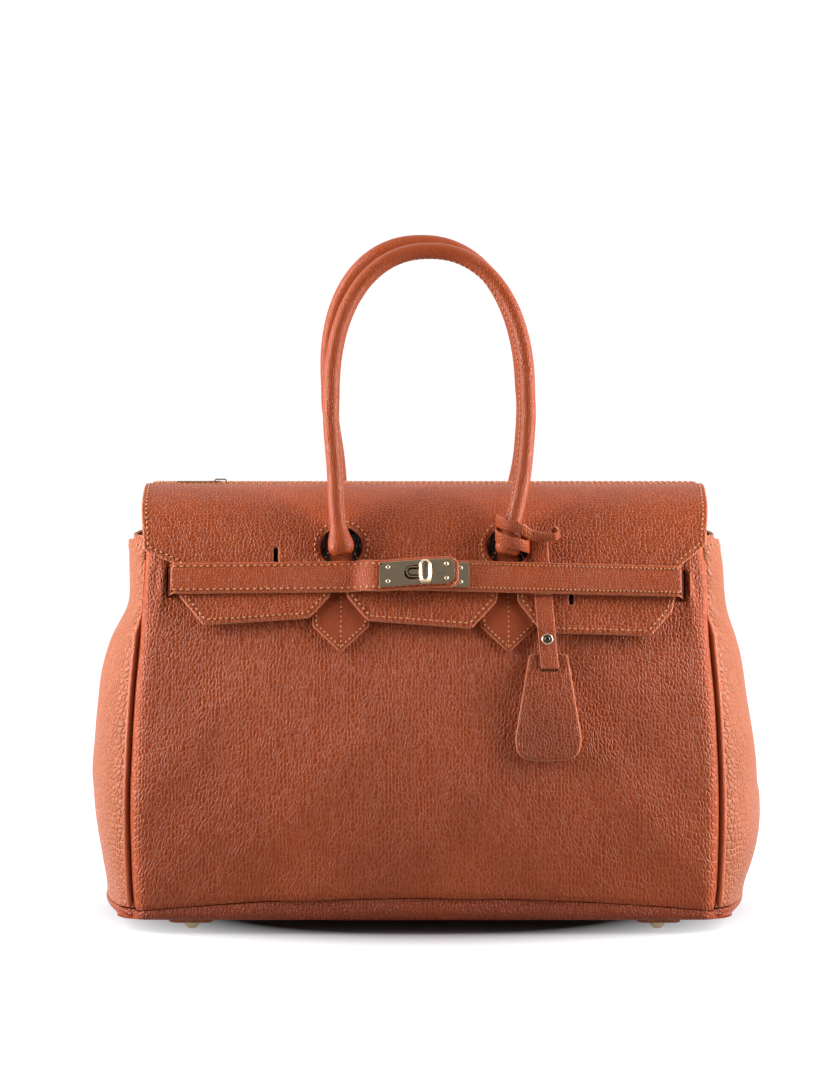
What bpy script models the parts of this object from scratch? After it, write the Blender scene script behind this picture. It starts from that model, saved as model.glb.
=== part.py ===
"""A structured leather handbag with two handles, a notched front flap, a belt
closed by a turn lock, a zipped top and a hanging tag, on four metal feet.

Metres, +Z up, front towards -Y, origin on the floor under the middle of the bag.
"""

import math

import bmesh
import bpy
from mathutils import Matrix, Vector
from mathutils.geometry import delaunay_2d_cdt

# Whole bag
BODY_HEIGHT = 0.2440
BODY_HALF_DEPTH = 0.0900
PANEL_HALF_WIDTH = 0.1655
GAP = 0.0003
OVERRUN = 0.0020

# The side profile of the panels, top to bottom, as shares of half depth and height
PROFILE_SHARES = (
    (0.000, 1.000), (0.080, 1.000), (0.233, 0.994), (0.383, 0.973), (0.483, 0.945), (0.556, 0.910),
    (0.618, 0.869), (0.722, 0.779), (0.817, 0.689), (0.915, 0.550), (0.978, 0.405),
    (1.000, 0.254), (0.982, 0.123), (0.955, 0.047),
)
# Panel width against height, and how far the panel's sides lie behind its middle
WIDTH_SHARES = ((0.04, 0.985), (0.12, 0.994), (0.30, 1.000), (0.53, 0.986), (0.72, 0.964), (0.96, 0.950))
SAG_SHARES = ((0.04, 0.55), (0.25, 0.85), (0.45, 1.00), (0.70, 0.60), (0.90, 0.28), (1.00, 0.00))
PANEL_SAG = 0.0070

# Leather sheets and their places off the panel's outer face
PANEL_THICKNESS = 0.0020
CHAPE_THICKNESS = 0.0022
FLAP_THICKNESS = 0.0022
PANEL_CORNER_RADIUS = 0.0080
PANEL_TOP_MARGIN = 0.0015
SEAM_HEIGHT_MIDDLE = 0.0210
SEAM_HEIGHT_END = 0.0125

# Gussets
GUSSET_THICKNESS = 0.0016
GUSSET_BULGE = 0.0250
GUSSET_CREASE = 0.0210
GUSSET_RIM_HEIGHT = 0.2190
GUSSET_RIM_DIP = 0.0030
BULGE_SHARES = (
    (0.04, 0.66), (0.09, 0.69), (0.135, 0.78), (0.185, 0.88), (0.23, 0.95), (0.32, 1.00),
    (0.37, 0.99), (0.46, 0.92), (0.52, 0.86), (0.60, 0.76), (0.66, 0.63), (0.72, 0.48),
    (0.77, 0.44), (0.84, 0.48), (0.90, 0.44),
)
CREASE_SHARES = ((0.30, 0.00), (0.45, 0.10), (0.60, 0.34), (0.75, 0.70), (0.90, 1.00))
CREASE_WIDTH_SHARE = 0.26

# Piping
PIPING_RADIUS = 0.0020
PIPING_TOP_HEIGHT = 0.2080

# Base, feet and inside
BASE_THICKNESS = 0.0020
BASE_FLOOR_HALF_WIDTH = 0.1690
BASE_FLOOR_HALF_DEPTH = 0.0770
BASE_CORNER_RADIUS = 0.0160
FOOT_HEIGHT = 0.0048
FOOT_RADIUS = 0.00475
FOOT_TIP_RADIUS = 0.0022
FOOT_TIP_ROUND = 0.0008
FOOT_STEM_RADIUS = 0.0015
FOOT_RIVET_RADIUS = 0.0026
FOOT_RIVET_THICKNESS = 0.0006
FOOT_X = 0.1320
FOOT_Y = 0.0620
PATCH_WIDTH = 0.0250
PATCH_DEPTH = 0.0180
PATCH_CORNER = 0.0040
PATCH_THICKNESS = 0.0022
BOARD_THICKNESS = 0.0012
BOARD_MARGIN = 0.0040
LINING_THICKNESS = 0.0008
LINING_INSET = 0.0050
LINING_RIM_HEIGHT = 0.2140
LINING_FLOOR_RISE = 0.0050
POCKET_HALF_WIDTH = 0.0800
POCKET_LOW = 0.0900
POCKET_HIGH = 0.1700

# Flap, measured on its outer face
FLAP_HALF_WIDTH = 0.1580
FLAP_FOLD_DEPTH = 0.0400
FLAP_STEP_HEIGHT = 0.2150
FLAP_STEP_HALF_WIDTH = 0.1380
FLAP_STEP_LOW = 0.2065
FLAP_TAB_SHOULDER = 0.1815
FLAP_TAB_OUTER = 0.1240
FLAP_TAB_OUTER_LOW = 0.1677
FLAP_TAB_INNER = 0.0648
FLAP_TAB_INNER_LOW = 0.1707
FLAP_NOTCH_SIDE = 0.0522
FLAP_NOTCH_HEIGHT = 0.1870
FLAP_CENTRE_SIDE = 0.0290
FLAP_CENTRE_LOW = 0.1708
FLAP_CENTRE_SHOULDER = 0.0418
FLAP_DROOP = 0.0035
FLAP_DROOP_TOP = 0.2000
FLAP_DROOP_LOW = 0.1700
KEYHOLE_X = 0.0470
KEYHOLE_HEIGHT = 0.2170
KEYHOLE_RADIUS = 0.0120
KEYHOLE_NECK = 0.0042
FLAP_SLIT_X = 0.0823
FLAP_SLIT_WIDTH = 0.0026
FLAP_SLIT_LENGTH = 0.0235
FLAP_SLIT_LEFT_HEIGHT = 0.2055
FLAP_SLIT_RIGHT_HEIGHT = 0.1960

# Chapes that carry the handles
CHAPE_HALF_WIDTH = 0.0160
CHAPE_CORNER_HEIGHT = 0.1735
CHAPE_POINT_HEIGHT = 0.1590
CHAPE_SHOULDER_HEIGHT = 0.2020
CHAPE_TOP_HEIGHT = 0.2180
CHAPE_NECK_HALF_WIDTH = 0.0070

# Handles
HANDLE_RADIUS = 0.0045
HANDLE_ROOT_RADIUS = 0.0061
HANDLE_BORE_RADIUS = 0.0030
HANDLE_ROOT_LENGTH = 0.0045
HANDLE_SWELL_LENGTH = 0.0150
HANDLE_HEIGHT = 0.1700
HANDLE_HALF_WIDTH = 0.0540
HANDLE_ARCH_HEIGHT = 0.0640
FRONT_HANDLE_LEAN = math.radians(16.0)
BACK_HANDLE_LEAN = math.radians(9.0)

# Belt straps, their metal plates and the turn lock
STRAP_WIDTH = 0.0180
STRAP_THICKNESS = 0.0022
STRAP_LEFT_SLIT_X = -0.1440
STRAP_LEFT_SLIT_HEIGHT = 0.1968
STRAP_RIGHT_SLIT_X = 0.1455
STRAP_RIGHT_SLIT_HEIGHT = 0.1947
STRAP_SLIT_WIDTH = 0.0030
STRAP_RAMP = 0.0052
RAMP_BREAK_SHARES = (0.45, 0.72, 1.0)
STRAP_STEP_START = 0.0420
STRAP_STEP_END = 0.0270
LOCK_X = 0.0003
LOCK_HEIGHT = 0.2028
ROOT_LENGTH = 0.0120
ROOT_THICKNESS = 0.0010
PLATE_THICKNESS = 0.0006
PLATE_HEIGHT = 0.0155
PLATE_CHAMFER = 0.0035
PLATE_LEFT_START = -0.0253
PLATE_LEFT_END = 0.0170
PLATE_RIGHT_START = -0.0150
PLATE_RIGHT_END = 0.0250
STRAP_END_MARGIN = 0.0020
SLOT_START = -0.0114
SLOT_END = 0.0042
SLOT_HEIGHT = 0.0082
RIVET_INSET = 0.0050
RIVET_RISE = 0.0042
RIVET_STEM_RADIUS = 0.0006
RIVET_HEAD_RADIUS = 0.0011
RIVET_HEAD_HEIGHT = 0.0005
LOCK_PLATE_LENGTH = 0.0300
LOCK_PLATE_HEIGHT = 0.0150
LOCK_POST_RADIUS = 0.0019
LOCK_STEM_RADIUS = 0.0016
LOCK_FLANGE_RADIUS = 0.0030
LOCK_WASHER_RADIUS = 0.0080
KNOB_LENGTH = 0.0135
KNOB_WIDTH = 0.0065
KNOB_THICKNESS = 0.0030
KNOB_BEVEL = 0.0007
KNOB_OUTLINE_SHARES = ((1.0, -0.45), (1.0, 0.45), (0.45, 1.0), (-0.45, 1.0),
                       (-1.0, 0.45), (-1.0, -0.45), (-0.45, -1.0), (0.45, -1.0))

# Zip, with distances walked from the middle of the top
MOUTH_HALF_GAP = 0.0060
ZIP_HALF_LENGTH = 0.1300
STRIP_SPACING = 0.0065
TAPE_THICKNESS = 0.0007
TAPE_REACH = 0.0220
TEETH_WIDTH = 0.0020
TEETH_HEIGHT = 0.0020
TEETH_HALF_GAP = 0.0007
FACING_HALF_LENGTH = 0.1400
FACING_THICKNESS = 0.0012
FACING_SETBACK = 0.0006
SLIDER_X = -0.1180
SLIDER_LENGTH = 0.0085
SLIDER_HALF_WIDTH = 0.0042
SLIDER_PLATE = 0.0008
SLIDER_NECK_HALF = 0.0004
BRIDGE_HALF_LENGTH = 0.0036
BRIDGE_HALF_WIDTH = 0.0008
BRIDGE_THICKNESS = 0.0008
PULL_LENGTH = 0.0250
PULL_WIDTH = 0.0048
PULL_THICKNESS = 0.0011
PULL_WINDOW_LENGTH = 0.0065

# Tag, its strap and its tie
TAG_STRAP_WIDTH = 0.0100
TAG_STRAP_THICKNESS = 0.0014
TAG_STRAP_HINGE_HEIGHT = 0.1880
TAG_STRAP_UPPER_LENGTH = 0.0300
TAG_STRAP_LOWER_LENGTH = 0.0410
TAG_STRAP_LEAVE_DROP = 0.0200
TAG_STRAP_TOP_X = 0.0640
TAG_STRAP_HINGE_X = 0.0665
TAG_STRAP_LOW_X = 0.0700
TAG_STRAP_TOP_HEIGHT = TAG_STRAP_HINGE_HEIGHT + TAG_STRAP_UPPER_LENGTH
TAG_STRAP_LOW_HEIGHT = TAG_STRAP_HINGE_HEIGHT - TAG_STRAP_LOWER_LENGTH
TAG_STRAP_LEAVE_HEIGHT = TAG_STRAP_HINGE_HEIGHT - TAG_STRAP_LEAVE_DROP
TAG_OFFSET = 0.0010
TAG_THICKNESS = 0.0024
TAG_MARGIN_ABOVE_SLOT = 0.0080
TAG_LENGTH = 0.0590
TAG_TOP_HEIGHT = TAG_STRAP_LOW_HEIGHT + TAG_MARGIN_ABOVE_SLOT
TAG_LOW_HEIGHT = TAG_TOP_HEIGHT - TAG_LENGTH
TAG_TOP_HALF_WIDTH = 0.0108
TAG_LOW_HALF_WIDTH = 0.0187
TAG_LOW_X = 0.0690
TAG_FOOT_SHARES = ((1.00, 0.84), (0.80, 0.96), (0.35, 1.00), (-0.35, 1.00), (-0.80, 0.96), (-1.00, 0.84))
TAG_SLOT_HEIGHT = 0.0022
TAG_RIVET_DROP = 0.0250
TAG_RIVET_HEIGHT = TAG_STRAP_HINGE_HEIGHT - TAG_RIVET_DROP
TAG_RIVET_RADIUS = 0.0032
TIE_WIDTH = 0.0062
TIE_THICKNESS = 0.0012
TIE_PITCH = 0.0072
TIE_TURNS = 1.5
TIE_START = 0.0042

# Colours
TAN = (0.330, 0.095, 0.050, 1.0)
TAN_DARK = (0.250, 0.068, 0.036, 1.0)
GOLD = (0.800, 0.620, 0.380, 1.0)
CLOTH = (0.120, 0.060, 0.040, 1.0)
FIBRE = (0.180, 0.120, 0.080, 1.0)

SIDES_ROUND = 9
CORE_SIDES = 6
FRONT = -1
BACK = 1


def clear_scene():
    for item in list(bpy.data.objects):
        bpy.data.objects.remove(item, do_unlink=True)


def surface_finish(name, colour, roughness, metallic):
    material = bpy.data.materials.new(name)
    material.use_nodes = True
    shader = material.node_tree.nodes["Principled BSDF"]
    shader.inputs["Base Color"].default_value = colour
    shader.inputs["Roughness"].default_value = roughness
    shader.inputs["Metallic"].default_value = metallic
    material.diffuse_color = colour
    return material


def make_finishes():
    return {
        "leather": surface_finish("leather_tan", TAN, 0.48, 0.0),
        "base": surface_finish("leather_base", TAN_DARK, 0.42, 0.0),
        "gold": surface_finish("gold_metal", GOLD, 0.18, 1.0),
        "cloth": surface_finish("lining_cloth", CLOTH, 0.85, 0.0),
        "board": surface_finish("fibre_board", FIBRE, 0.80, 0.0),
        "tape": surface_finish("zip_tape", TAN_DARK, 0.75, 0.0),
    }


def object_from(name, points, faces, finish, parent=None):
    mesh = bpy.data.meshes.new(name)
    mesh.from_pydata([tuple(p) for p in points], [], faces)
    shape = bmesh.new()
    shape.from_mesh(mesh)
    bmesh.ops.triangulate(shape, faces=[f for f in shape.faces if len(f.verts) > 4])
    bmesh.ops.recalc_face_normals(shape, faces=shape.faces)
    shape.to_mesh(mesh)
    shape.free()
    mesh.materials.append(finish)
    mesh.shade_smooth()
    mesh.set_sharp_from_angle(angle=math.radians(40.0))
    item = bpy.data.objects.new(name, mesh)
    bpy.context.scene.collection.objects.link(item)
    if parent is not None:
        seat = parent.matrix_world.inverted()
        mesh.transform(seat)
        item.parent = parent
    return item


def pivot_empty(name, place, turn=None):
    """An empty on a joint's axis; the pieces of the moving body hang on it."""
    item = bpy.data.objects.new(name, None)
    bpy.context.scene.collection.objects.link(item)
    item.matrix_world = Matrix.Translation(place) @ (turn or Matrix.Identity(4))
    bpy.context.view_layer.update()
    return item


def read_shares(table, share):
    """Straight-line reading of a table of (share, value) pairs."""
    if share <= table[0][0]:
        return table[0][1]
    for (a, low), (b, high) in zip(table, table[1:]):
        if share <= b:
            return low + (high - low) * (share - a) / (b - a)
    return table[-1][1]


def smooth_step(value, start, end):
    t = min(max((value - start) / (end - start), 0.0), 1.0)
    return t * t * (3.0 - 2.0 * t)


def curve_through(points, steps):
    """A smooth curve through the points, each span read in even steps."""
    ends = [points[0] * 2.0 - points[1]] + list(points) + [points[-1] * 2.0 - points[-2]]
    out = []
    for i in range(1, len(ends) - 2):
        a, b, c, d = ends[i - 1], ends[i], ends[i + 1], ends[i + 2]
        for k in range(steps):
            t = k / steps
            out.append(0.5 * (b * 2.0 + (c - a) * t + (a * 2.0 - b * 5.0 + c * 4.0 - d) * t ** 2
                              + (b * 3.0 - a - c * 3.0 + d) * t ** 3))
    out.append(points[-1].copy())
    return out


class Skin:
    """The outer face of the front panel, as a profile walked from top to bottom."""

    def __init__(self):
        corners = [Vector((d * BODY_HALF_DEPTH, h * BODY_HEIGHT)) for d, h in PROFILE_SHARES]
        self.line = curve_through(corners, 14)
        self.walked = [0.0]
        for a, b in zip(self.line, self.line[1:]):
            self.walked.append(self.walked[-1] + (b - a).length)
        self.length = self.walked[-1]

    def at(self, s):
        """Half depth, height and the outward normal at a walked distance."""
        last = len(self.line) - 2
        i = 0
        while i < last and self.walked[i + 1] < s:
            i += 1
        run = self.walked[i + 1] - self.walked[i]
        place = self.line[i].lerp(self.line[i + 1], (s - self.walked[i]) / run)
        before = self.line[max(i - 1, 0)]
        here = self.line[i + 1] - self.line[i]
        blend = min(max((s - self.walked[i]) / run, 0.0), 1.0)
        early = (self.line[i + 1] - before).normalized()
        late = (self.line[min(i + 2, last + 1)] - self.line[i]).normalized()
        along = early.lerp(late, blend).normalized() if here.length > 0 else early
        return place, Vector((-along.y, along.x))

    def walk_to_height(self, height, offset=0.0):
        low, high = 0.0, self.length
        for _ in range(40):
            middle = (low + high) * 0.5
            place, normal = self.at(middle)
            if place.y + normal.y * offset > height:
                low = middle
            else:
                high = middle
        return low

    def walk_to_depth(self, depth, offset=0.0):
        low, high = 0.0, self.length * 0.4
        for _ in range(40):
            middle = (low + high) * 0.5
            place, normal = self.at(middle)
            if place.x + normal.x * offset < depth:
                low = middle
            else:
                high = middle
        return low


SKIN = Skin()


def panel_half_width(height):
    return PANEL_HALF_WIDTH * read_shares(WIDTH_SHARES, height / BODY_HEIGHT)


def side_sag(x, height):
    reach = x / PANEL_HALF_WIDTH
    return PANEL_SAG * read_shares(SAG_SHARES, height / BODY_HEIGHT) * reach * reach


def on_skin(x, s, offset, side=FRONT):
    """A point off the panel's outer face, at width x and walked distance s."""
    place, normal = SKIN.at(s)
    depth = place.x + normal.x * offset - side_sag(x, place.y)
    return Vector((x, side * depth, place.y + normal.y * offset))


def skin_frame(x, s, offset, side=FRONT):
    """Axes on the skin: x across, y up the leather, z straight out of it."""
    _, normal = SKIN.at(s)
    out = Vector((0.0, side * normal.x, normal.y)).normalized()
    across = Vector((1.0, 0.0, 0.0))
    up = out.cross(across)
    turn = Matrix((across, up, out)).transposed().to_4x4()
    return Matrix.Translation(on_skin(x, s, offset, side)) @ turn


def on_panel(across, s, offset, side):
    """As on_skin, but the panel's sides are rolled back round its corners."""
    place, normal = SKIN.at(s)
    flat = panel_half_width(place.y) - PANEL_CORNER_RADIUS
    whole = flat + PANEL_CORNER_RADIUS * math.pi * 0.5
    run = abs(across) * whole
    hand = 1.0 if across >= 0.0 else -1.0
    if run <= flat:
        return on_skin(hand * run, s, offset, side)
    turn = (run - flat) / PANEL_CORNER_RADIUS
    x = flat + (PANEL_CORNER_RADIUS + offset) * math.sin(turn)
    back = PANEL_CORNER_RADIUS * (1.0 - math.cos(turn))
    depth = place.x - side_sag(flat, place.y) - back + normal.x * offset * math.cos(turn)
    return Vector((hand * x, side * depth, place.y + normal.y * offset * math.cos(turn)))


def edge_half_depth(height):
    """Half depth at which the panel's rolled edge ends."""
    place, _ = SKIN.at(SKIN.walk_to_height(height))
    flat = panel_half_width(height) - PANEL_CORNER_RADIUS
    return place.x - side_sag(flat, height) - PANEL_CORNER_RADIUS


def on_gusset(t, height, hand):
    """Outer face of a gusset; t runs from -1 at the front to 1 at the back."""
    share = height / BODY_HEIGHT
    reach = edge_half_depth(height) - PIPING_RADIUS * 2.0 - GAP * 2.0
    swell = (1.0 - abs(t) ** 2.4) ** 0.62 if abs(t) < 1.0 else 0.0
    fold = math.exp(-(t / CREASE_WIDTH_SHARE) ** 2) * swell
    x = panel_half_width(height) + GUSSET_THICKNESS * 0.5
    x += GUSSET_BULGE * read_shares(BULGE_SHARES, share) * swell
    x -= GUSSET_CREASE * read_shares(CREASE_SHARES, share) * fold
    return Vector((hand * x, t * reach, height))


def seam_height(x):
    reach = min(abs(x) / PANEL_HALF_WIDTH, 1.0)
    return SEAM_HEIGHT_MIDDLE + (SEAM_HEIGHT_END - SEAM_HEIGHT_MIDDLE) * reach ** 2.2


def resample(loop, spacing):
    out = []
    for a, b in zip(loop, loop[1:] + loop[:1]):
        count = max(1, math.ceil((b - a).length / spacing))
        out.extend(a.lerp(b, k / count) for k in range(count))
    return out


def inside(point, loop):
    hit = False
    for a, b in zip(loop, loop[1:] + loop[:1]):
        if (a.y > point.y) != (b.y > point.y):
            if point.x < (b.x - a.x) * (point.y - a.y) / (b.y - a.y) + a.x:
                hit = not hit
    return hit


def distance_to(point, loop):
    best = BODY_HEIGHT
    for a, b in zip(loop, loop[1:] + loop[:1]):
        run = b - a
        t = min(max((point - a).dot(run) / run.length_squared, 0.0), 1.0)
        best = min(best, (a + run * t - point).length)
    return best


def sheet(name, outline, holes, spacing, low, high, finish, parent=None, creases=()):
    """A closed sheet: a flat outline with holes, laid between two faces.

    low and high turn a flat point into the two faces' points; creases are
    straight lines across the outline that the faces have to follow.
    """
    loops = [resample(outline, spacing)] + [resample(h, spacing) for h in holes]
    flat = [p for loop in loops for p in loop]
    edges = []
    start = 0
    for loop in loops:
        count = len(loop)
        edges.extend((start + k, start + (k + 1) % count) for k in range(count))
        start += count
    for a, b in creases:
        edges.append((len(flat), len(flat) + 1))
        flat.extend((a, b))
    x_low, x_high = min(p.x for p in loops[0]), max(p.x for p in loops[0])
    y_low, y_high = min(p.y for p in loops[0]), max(p.y for p in loops[0])
    columns = max(1, round((x_high - x_low) / spacing))
    rows = max(1, round((y_high - y_low) / spacing))
    for i in range(1, columns):
        for j in range(1, rows):
            p = Vector((x_low + (x_high - x_low) * i / columns, y_low + (y_high - y_low) * j / rows))
            if not inside(p, loops[0]) or any(inside(p, h) for h in loops[1:]):
                continue
            if min(distance_to(p, loop) for loop in loops) > spacing * 0.45:
                flat.append(p)
    verts, _, faces, _, _, _ = delaunay_2d_cdt(flat, edges, [], 0, spacing * 1e-6)
    kept = []
    for face in faces:
        middle = sum((verts[i] for i in face), Vector((0.0, 0.0))) / len(face)
        if inside(middle, loops[0]) and not any(inside(middle, h) for h in loops[1:]):
            kept.append(tuple(face))
    return close_sheet(name, verts, kept, low, high, finish, parent)


def close_sheet(name, verts, faces, low, high, finish, parent=None):
    used = sorted({i for face in faces for i in face})
    number = {old: new for new, old in enumerate(used)}
    count = len(used)
    points = [low(verts[i].x, verts[i].y) for i in used]
    points += [high(verts[i].x, verts[i].y) for i in used]
    sides = {}
    for face in faces:
        for a, b in zip(face, face[1:] + face[:1]):
            key = (min(a, b), max(a, b))
            sides[key] = None if key in sides else (a, b)
    solid = []
    for face in faces:
        ring = [number[i] for i in face]
        solid.append(tuple(reversed(ring)))
        solid.append(tuple(i + count for i in ring))
    for pair in sides.values():
        if pair is not None:
            a, b = number[pair[0]], number[pair[1]]
            solid.append((a, b, b + count, a + count))
    return object_from(name, points, solid, finish, parent)


def grid_solid(name, outer, inner, finish, parent=None):
    """A closed solid between two matching grids of points."""
    rows, columns = len(outer), len(outer[0])
    points = [p for row in outer for p in row] + [p for row in inner for p in row]
    count = rows * columns
    faces = []
    for i in range(rows - 1):
        for j in range(columns - 1):
            a = i * columns + j
            ring = (a, a + 1, a + 1 + columns, a + columns)
            faces.append(ring)
            faces.append(tuple(k + count for k in reversed(ring)))
    rim = [j for j in range(columns)]
    rim += [i * columns + columns - 1 for i in range(1, rows)]
    rim += [(rows - 1) * columns + j for j in range(columns - 2, -1, -1)]
    rim += [i * columns for i in range(rows - 2, 0, -1)]
    for a, b in zip(rim, rim[1:] + rim[:1]):
        faces.append((b, a, a + count, b + count))
    return object_from(name, points, faces, finish, parent)


def ring_solid(name, rings, finish, parent=None):
    """A closed solid skinned over matching rings, with a flat face at each end."""
    count = len(rings[0])
    points = [p for ring in rings for p in ring]
    faces = [tuple(range(count))]
    for i in range(len(rings) - 1):
        for j in range(count):
            a, b = i * count + j, i * count + (j + 1) % count
            faces.append((b, a, a + count, b + count))
    faces.append(tuple(reversed(range(len(points) - count, len(points)))))
    return object_from(name, points, faces, finish, parent)


def ring_loop(name, rings, finish, parent=None):
    """A closed solid skinned over rings, the last joined to the first."""
    count = len(rings[0])
    points = [p for ring in rings for p in ring]
    faces = []
    for i in range(len(rings)):
        for j in range(count):
            a, b = i * count + j, i * count + (j + 1) % count
            c, d = (a + count) % len(points), (b + count) % len(points)
            faces.append((b, a, c, d))
    return object_from(name, points, faces, finish, parent)


def turned(name, profile, frame, finish, parent=None, sides=SIDES_ROUND):
    """A solid turned about the frame's z axis from (radius, height) pairs."""
    rings = []
    for radius, height in profile:
        ring = []
        for k in range(sides):
            a = math.tau * k / sides
            ring.append(frame @ Vector((radius * math.cos(a), radius * math.sin(a), height)))
        rings.append(ring)
    return ring_solid(name, rings, finish, parent)


def path_frames(path):
    """A direction and a steady side vector at each point of a path."""
    frames = []
    side = None
    for i, place in enumerate(path):
        ahead = path[min(i + 1, len(path) - 1)] - path[max(i - 1, 0)]
        ahead.normalize()
        if side is None:
            side = ahead.orthogonal().normalized()
        side = (side - ahead * side.dot(ahead)).normalized()
        frames.append((place, ahead, side))
    return frames


def tube_rings(path, radii, sides):
    rings = []
    for (place, ahead, side), radius in zip(path_frames(path), radii):
        other = ahead.cross(side)
        ring = []
        for k in range(sides):
            a = math.tau * k / sides
            ring.append(place + (side * math.cos(a) + other * math.sin(a)) * radius)
        rings.append(ring)
    return rings


def circle(x, y, radius, sides, start=0.0, sweep=math.tau):
    count = sides if sweep == math.tau else sides + 1
    angles = [start + sweep * k / sides for k in range(count)]
    return [Vector((x + radius * math.cos(a), y + radius * math.sin(a))) for a in angles]


def rectangle(x_low, x_high, y_low, y_high):
    corners = ((x_low, y_low), (x_high, y_low), (x_high, y_high), (x_low, y_high))
    return [Vector(corner) for corner in corners]


def rounded_rectangle(x, y, width, height, radius, steps=3):
    out = []
    for sx, sy, start in ((1, 1, 0.0), (-1, 1, 0.25), (-1, -1, 0.5), (1, -1, 0.75)):
        cx, cy = x + sx * (width * 0.5 - radius), y + sy * (height * 0.5 - radius)
        out += circle(cx, cy, radius, steps, math.tau * start, math.tau * 0.25)
    return out


def between_offsets(low, high, side=FRONT):
    """The two face functions of a sheet laid on the skin at fixed offsets."""
    return (lambda x, s: on_skin(x, s, low, side)), (lambda x, s: on_skin(x, s, high, side))


# Stack of layers off the panel's outer face, each with its small gap
CHAPE_LOW = GAP
CHAPE_HIGH = CHAPE_LOW + CHAPE_THICKNESS
FLAP_LOW = CHAPE_HIGH + GAP
FLAP_HIGH = FLAP_LOW + FLAP_THICKNESS
LOCK_PLATE_LOW = FLAP_HIGH + GAP
LOCK_PLATE_HIGH = LOCK_PLATE_LOW + PLATE_THICKNESS
TAG_STRAP_LOW = FLAP_HIGH + GAP
TAG_STRAP_HIGH = TAG_STRAP_LOW + TAG_STRAP_THICKNESS
STRAP_ON_FLAP = FLAP_HIGH + GAP
STRAP_RIGHT_LOW = TAG_STRAP_HIGH + GAP
PLATE_RIGHT_LOW = STRAP_RIGHT_LOW + STRAP_THICKNESS + GAP
STRAP_LEFT_LOW = PLATE_RIGHT_LOW + PLATE_THICKNESS + GAP + RIVET_HEAD_HEIGHT + GAP
PLATE_LEFT_LOW = STRAP_LEFT_LOW + STRAP_THICKNESS + GAP
PLATE_LEFT_HIGH = PLATE_LEFT_LOW + PLATE_THICKNESS

# Walked distances on the skin
FOLD_WALK = SKIN.walk_to_depth(FLAP_FOLD_DEPTH, FLAP_HIGH)
KEYHOLE_WALK = SKIN.walk_to_height(KEYHOLE_HEIGHT, FLAP_HIGH)
HANDLE_OFFSET = CHAPE_HIGH + GAP + HANDLE_ROOT_RADIUS
PIVOT_WALK = SKIN.walk_to_height(KEYHOLE_HEIGHT, HANDLE_OFFSET)
LOCK_WALK = SKIN.walk_to_height(LOCK_HEIGHT, STRAP_LEFT_LOW)

# Levels of the floor of the bag
PATCH_LOW = FOOT_HEIGHT + GAP
BASE_LOW = PATCH_LOW + PATCH_THICKNESS + GAP
BASE_HIGH = BASE_LOW + BASE_THICKNESS
BOARD_LOW = BASE_HIGH + GAP
BOARD_HIGH = BOARD_LOW + BOARD_THICKNESS
FOOT_TOP = BOARD_HIGH + GAP + FOOT_RIVET_THICKNESS
LINING_LOW = FOOT_TOP + GAP


def wall_loop(height, inset=0.0, arched=False):
    """The plan of the whole wall at a height, pushed in by an inset."""
    half = []
    flat = panel_half_width(height) - PANEL_CORNER_RADIUS
    s = SKIN.walk_to_height(height)
    whole = flat + PANEL_CORNER_RADIUS * math.pi * 0.5
    for k in range(6):
        half.append(on_panel(flat * k / 5.0 / whole, s, 0.0, FRONT))
    if inset == 0.0:
        for k in (1, 2):
            half.append(on_panel((flat + (whole - flat) * k / 2.0) / whole, s, 0.0, FRONT))
    for k in range(0 if inset == 0.0 else 1, 7):
        half.append(on_gusset(math.sin(math.pi * 0.5 * (k / 6.0 - 1.0)), height, 1.0))
    back = [Vector((p.x, -p.y, p.z)) for p in reversed(half[:-1])]
    right = half + back
    left = [Vector((-p.x, p.y, p.z)) for p in reversed(right[1:-1])]
    loop = right + left
    if arched:
        for p in loop:
            if abs(p.x) < flat + PANEL_CORNER_RADIUS * 0.5:
                p.z = seam_height(p.x)
    count = len(loop)
    out = []
    for i, p in enumerate(loop):
        ahead = loop[(i + 1) % count] - loop[i - 1]
        normal = Vector((-ahead.y, ahead.x, 0.0)).normalized()
        out.append(p + normal * inset)
    return out


def front_and_back_panels(finish):
    slits = []
    spots = ((STRAP_LEFT_SLIT_X, STRAP_LEFT_SLIT_HEIGHT), (STRAP_RIGHT_SLIT_X, STRAP_RIGHT_SLIT_HEIGHT))
    for x, height in spots:
        s = SKIN.walk_to_height(height)
        flat = panel_half_width(height) - PANEL_CORNER_RADIUS
        whole = flat + PANEL_CORNER_RADIUS * math.pi * 0.5
        centre, reach = x / whole, STRAP_SLIT_WIDTH * 0.5 / whole
        rise = STRAP_WIDTH * 0.5 + GAP
        slits.append(rectangle(centre - reach, centre + reach, s - rise, s + rise))
    top = FOLD_WALK + PANEL_TOP_MARGIN
    low = SKIN.length
    for name, side, cuts in (("front_panel", FRONT, slits), ("back_panel", BACK, [])):

        def stretch(x):
            """How far the arched seam shortens the panel at width x."""
            end = SKIN.walk_to_height(seam_height(x) + GAP * 0.5)
            return (end - top) / (low - top)

        def outer(x, s):
            return on_panel(x / PANEL_HALF_WIDTH, top + (s - top) * stretch(x), 0.0, side)

        def inner(x, s):
            return on_panel(x / PANEL_HALF_WIDTH, top + (s - top) * stretch(x), -PANEL_THICKNESS, side)

        holes = []
        for cut in cuts:
            wide = [Vector((p.x * PANEL_HALF_WIDTH, p.y)) for p in cut]
            holes.append([Vector((p.x, top + (p.y - top) / stretch(p.x))) for p in wide])
        outline = rectangle(-PANEL_HALF_WIDTH, PANEL_HALF_WIDTH, top, low)
        sheet(name, outline, holes, PANEL_HALF_WIDTH / 9.0, inner, outer, finish)


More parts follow.
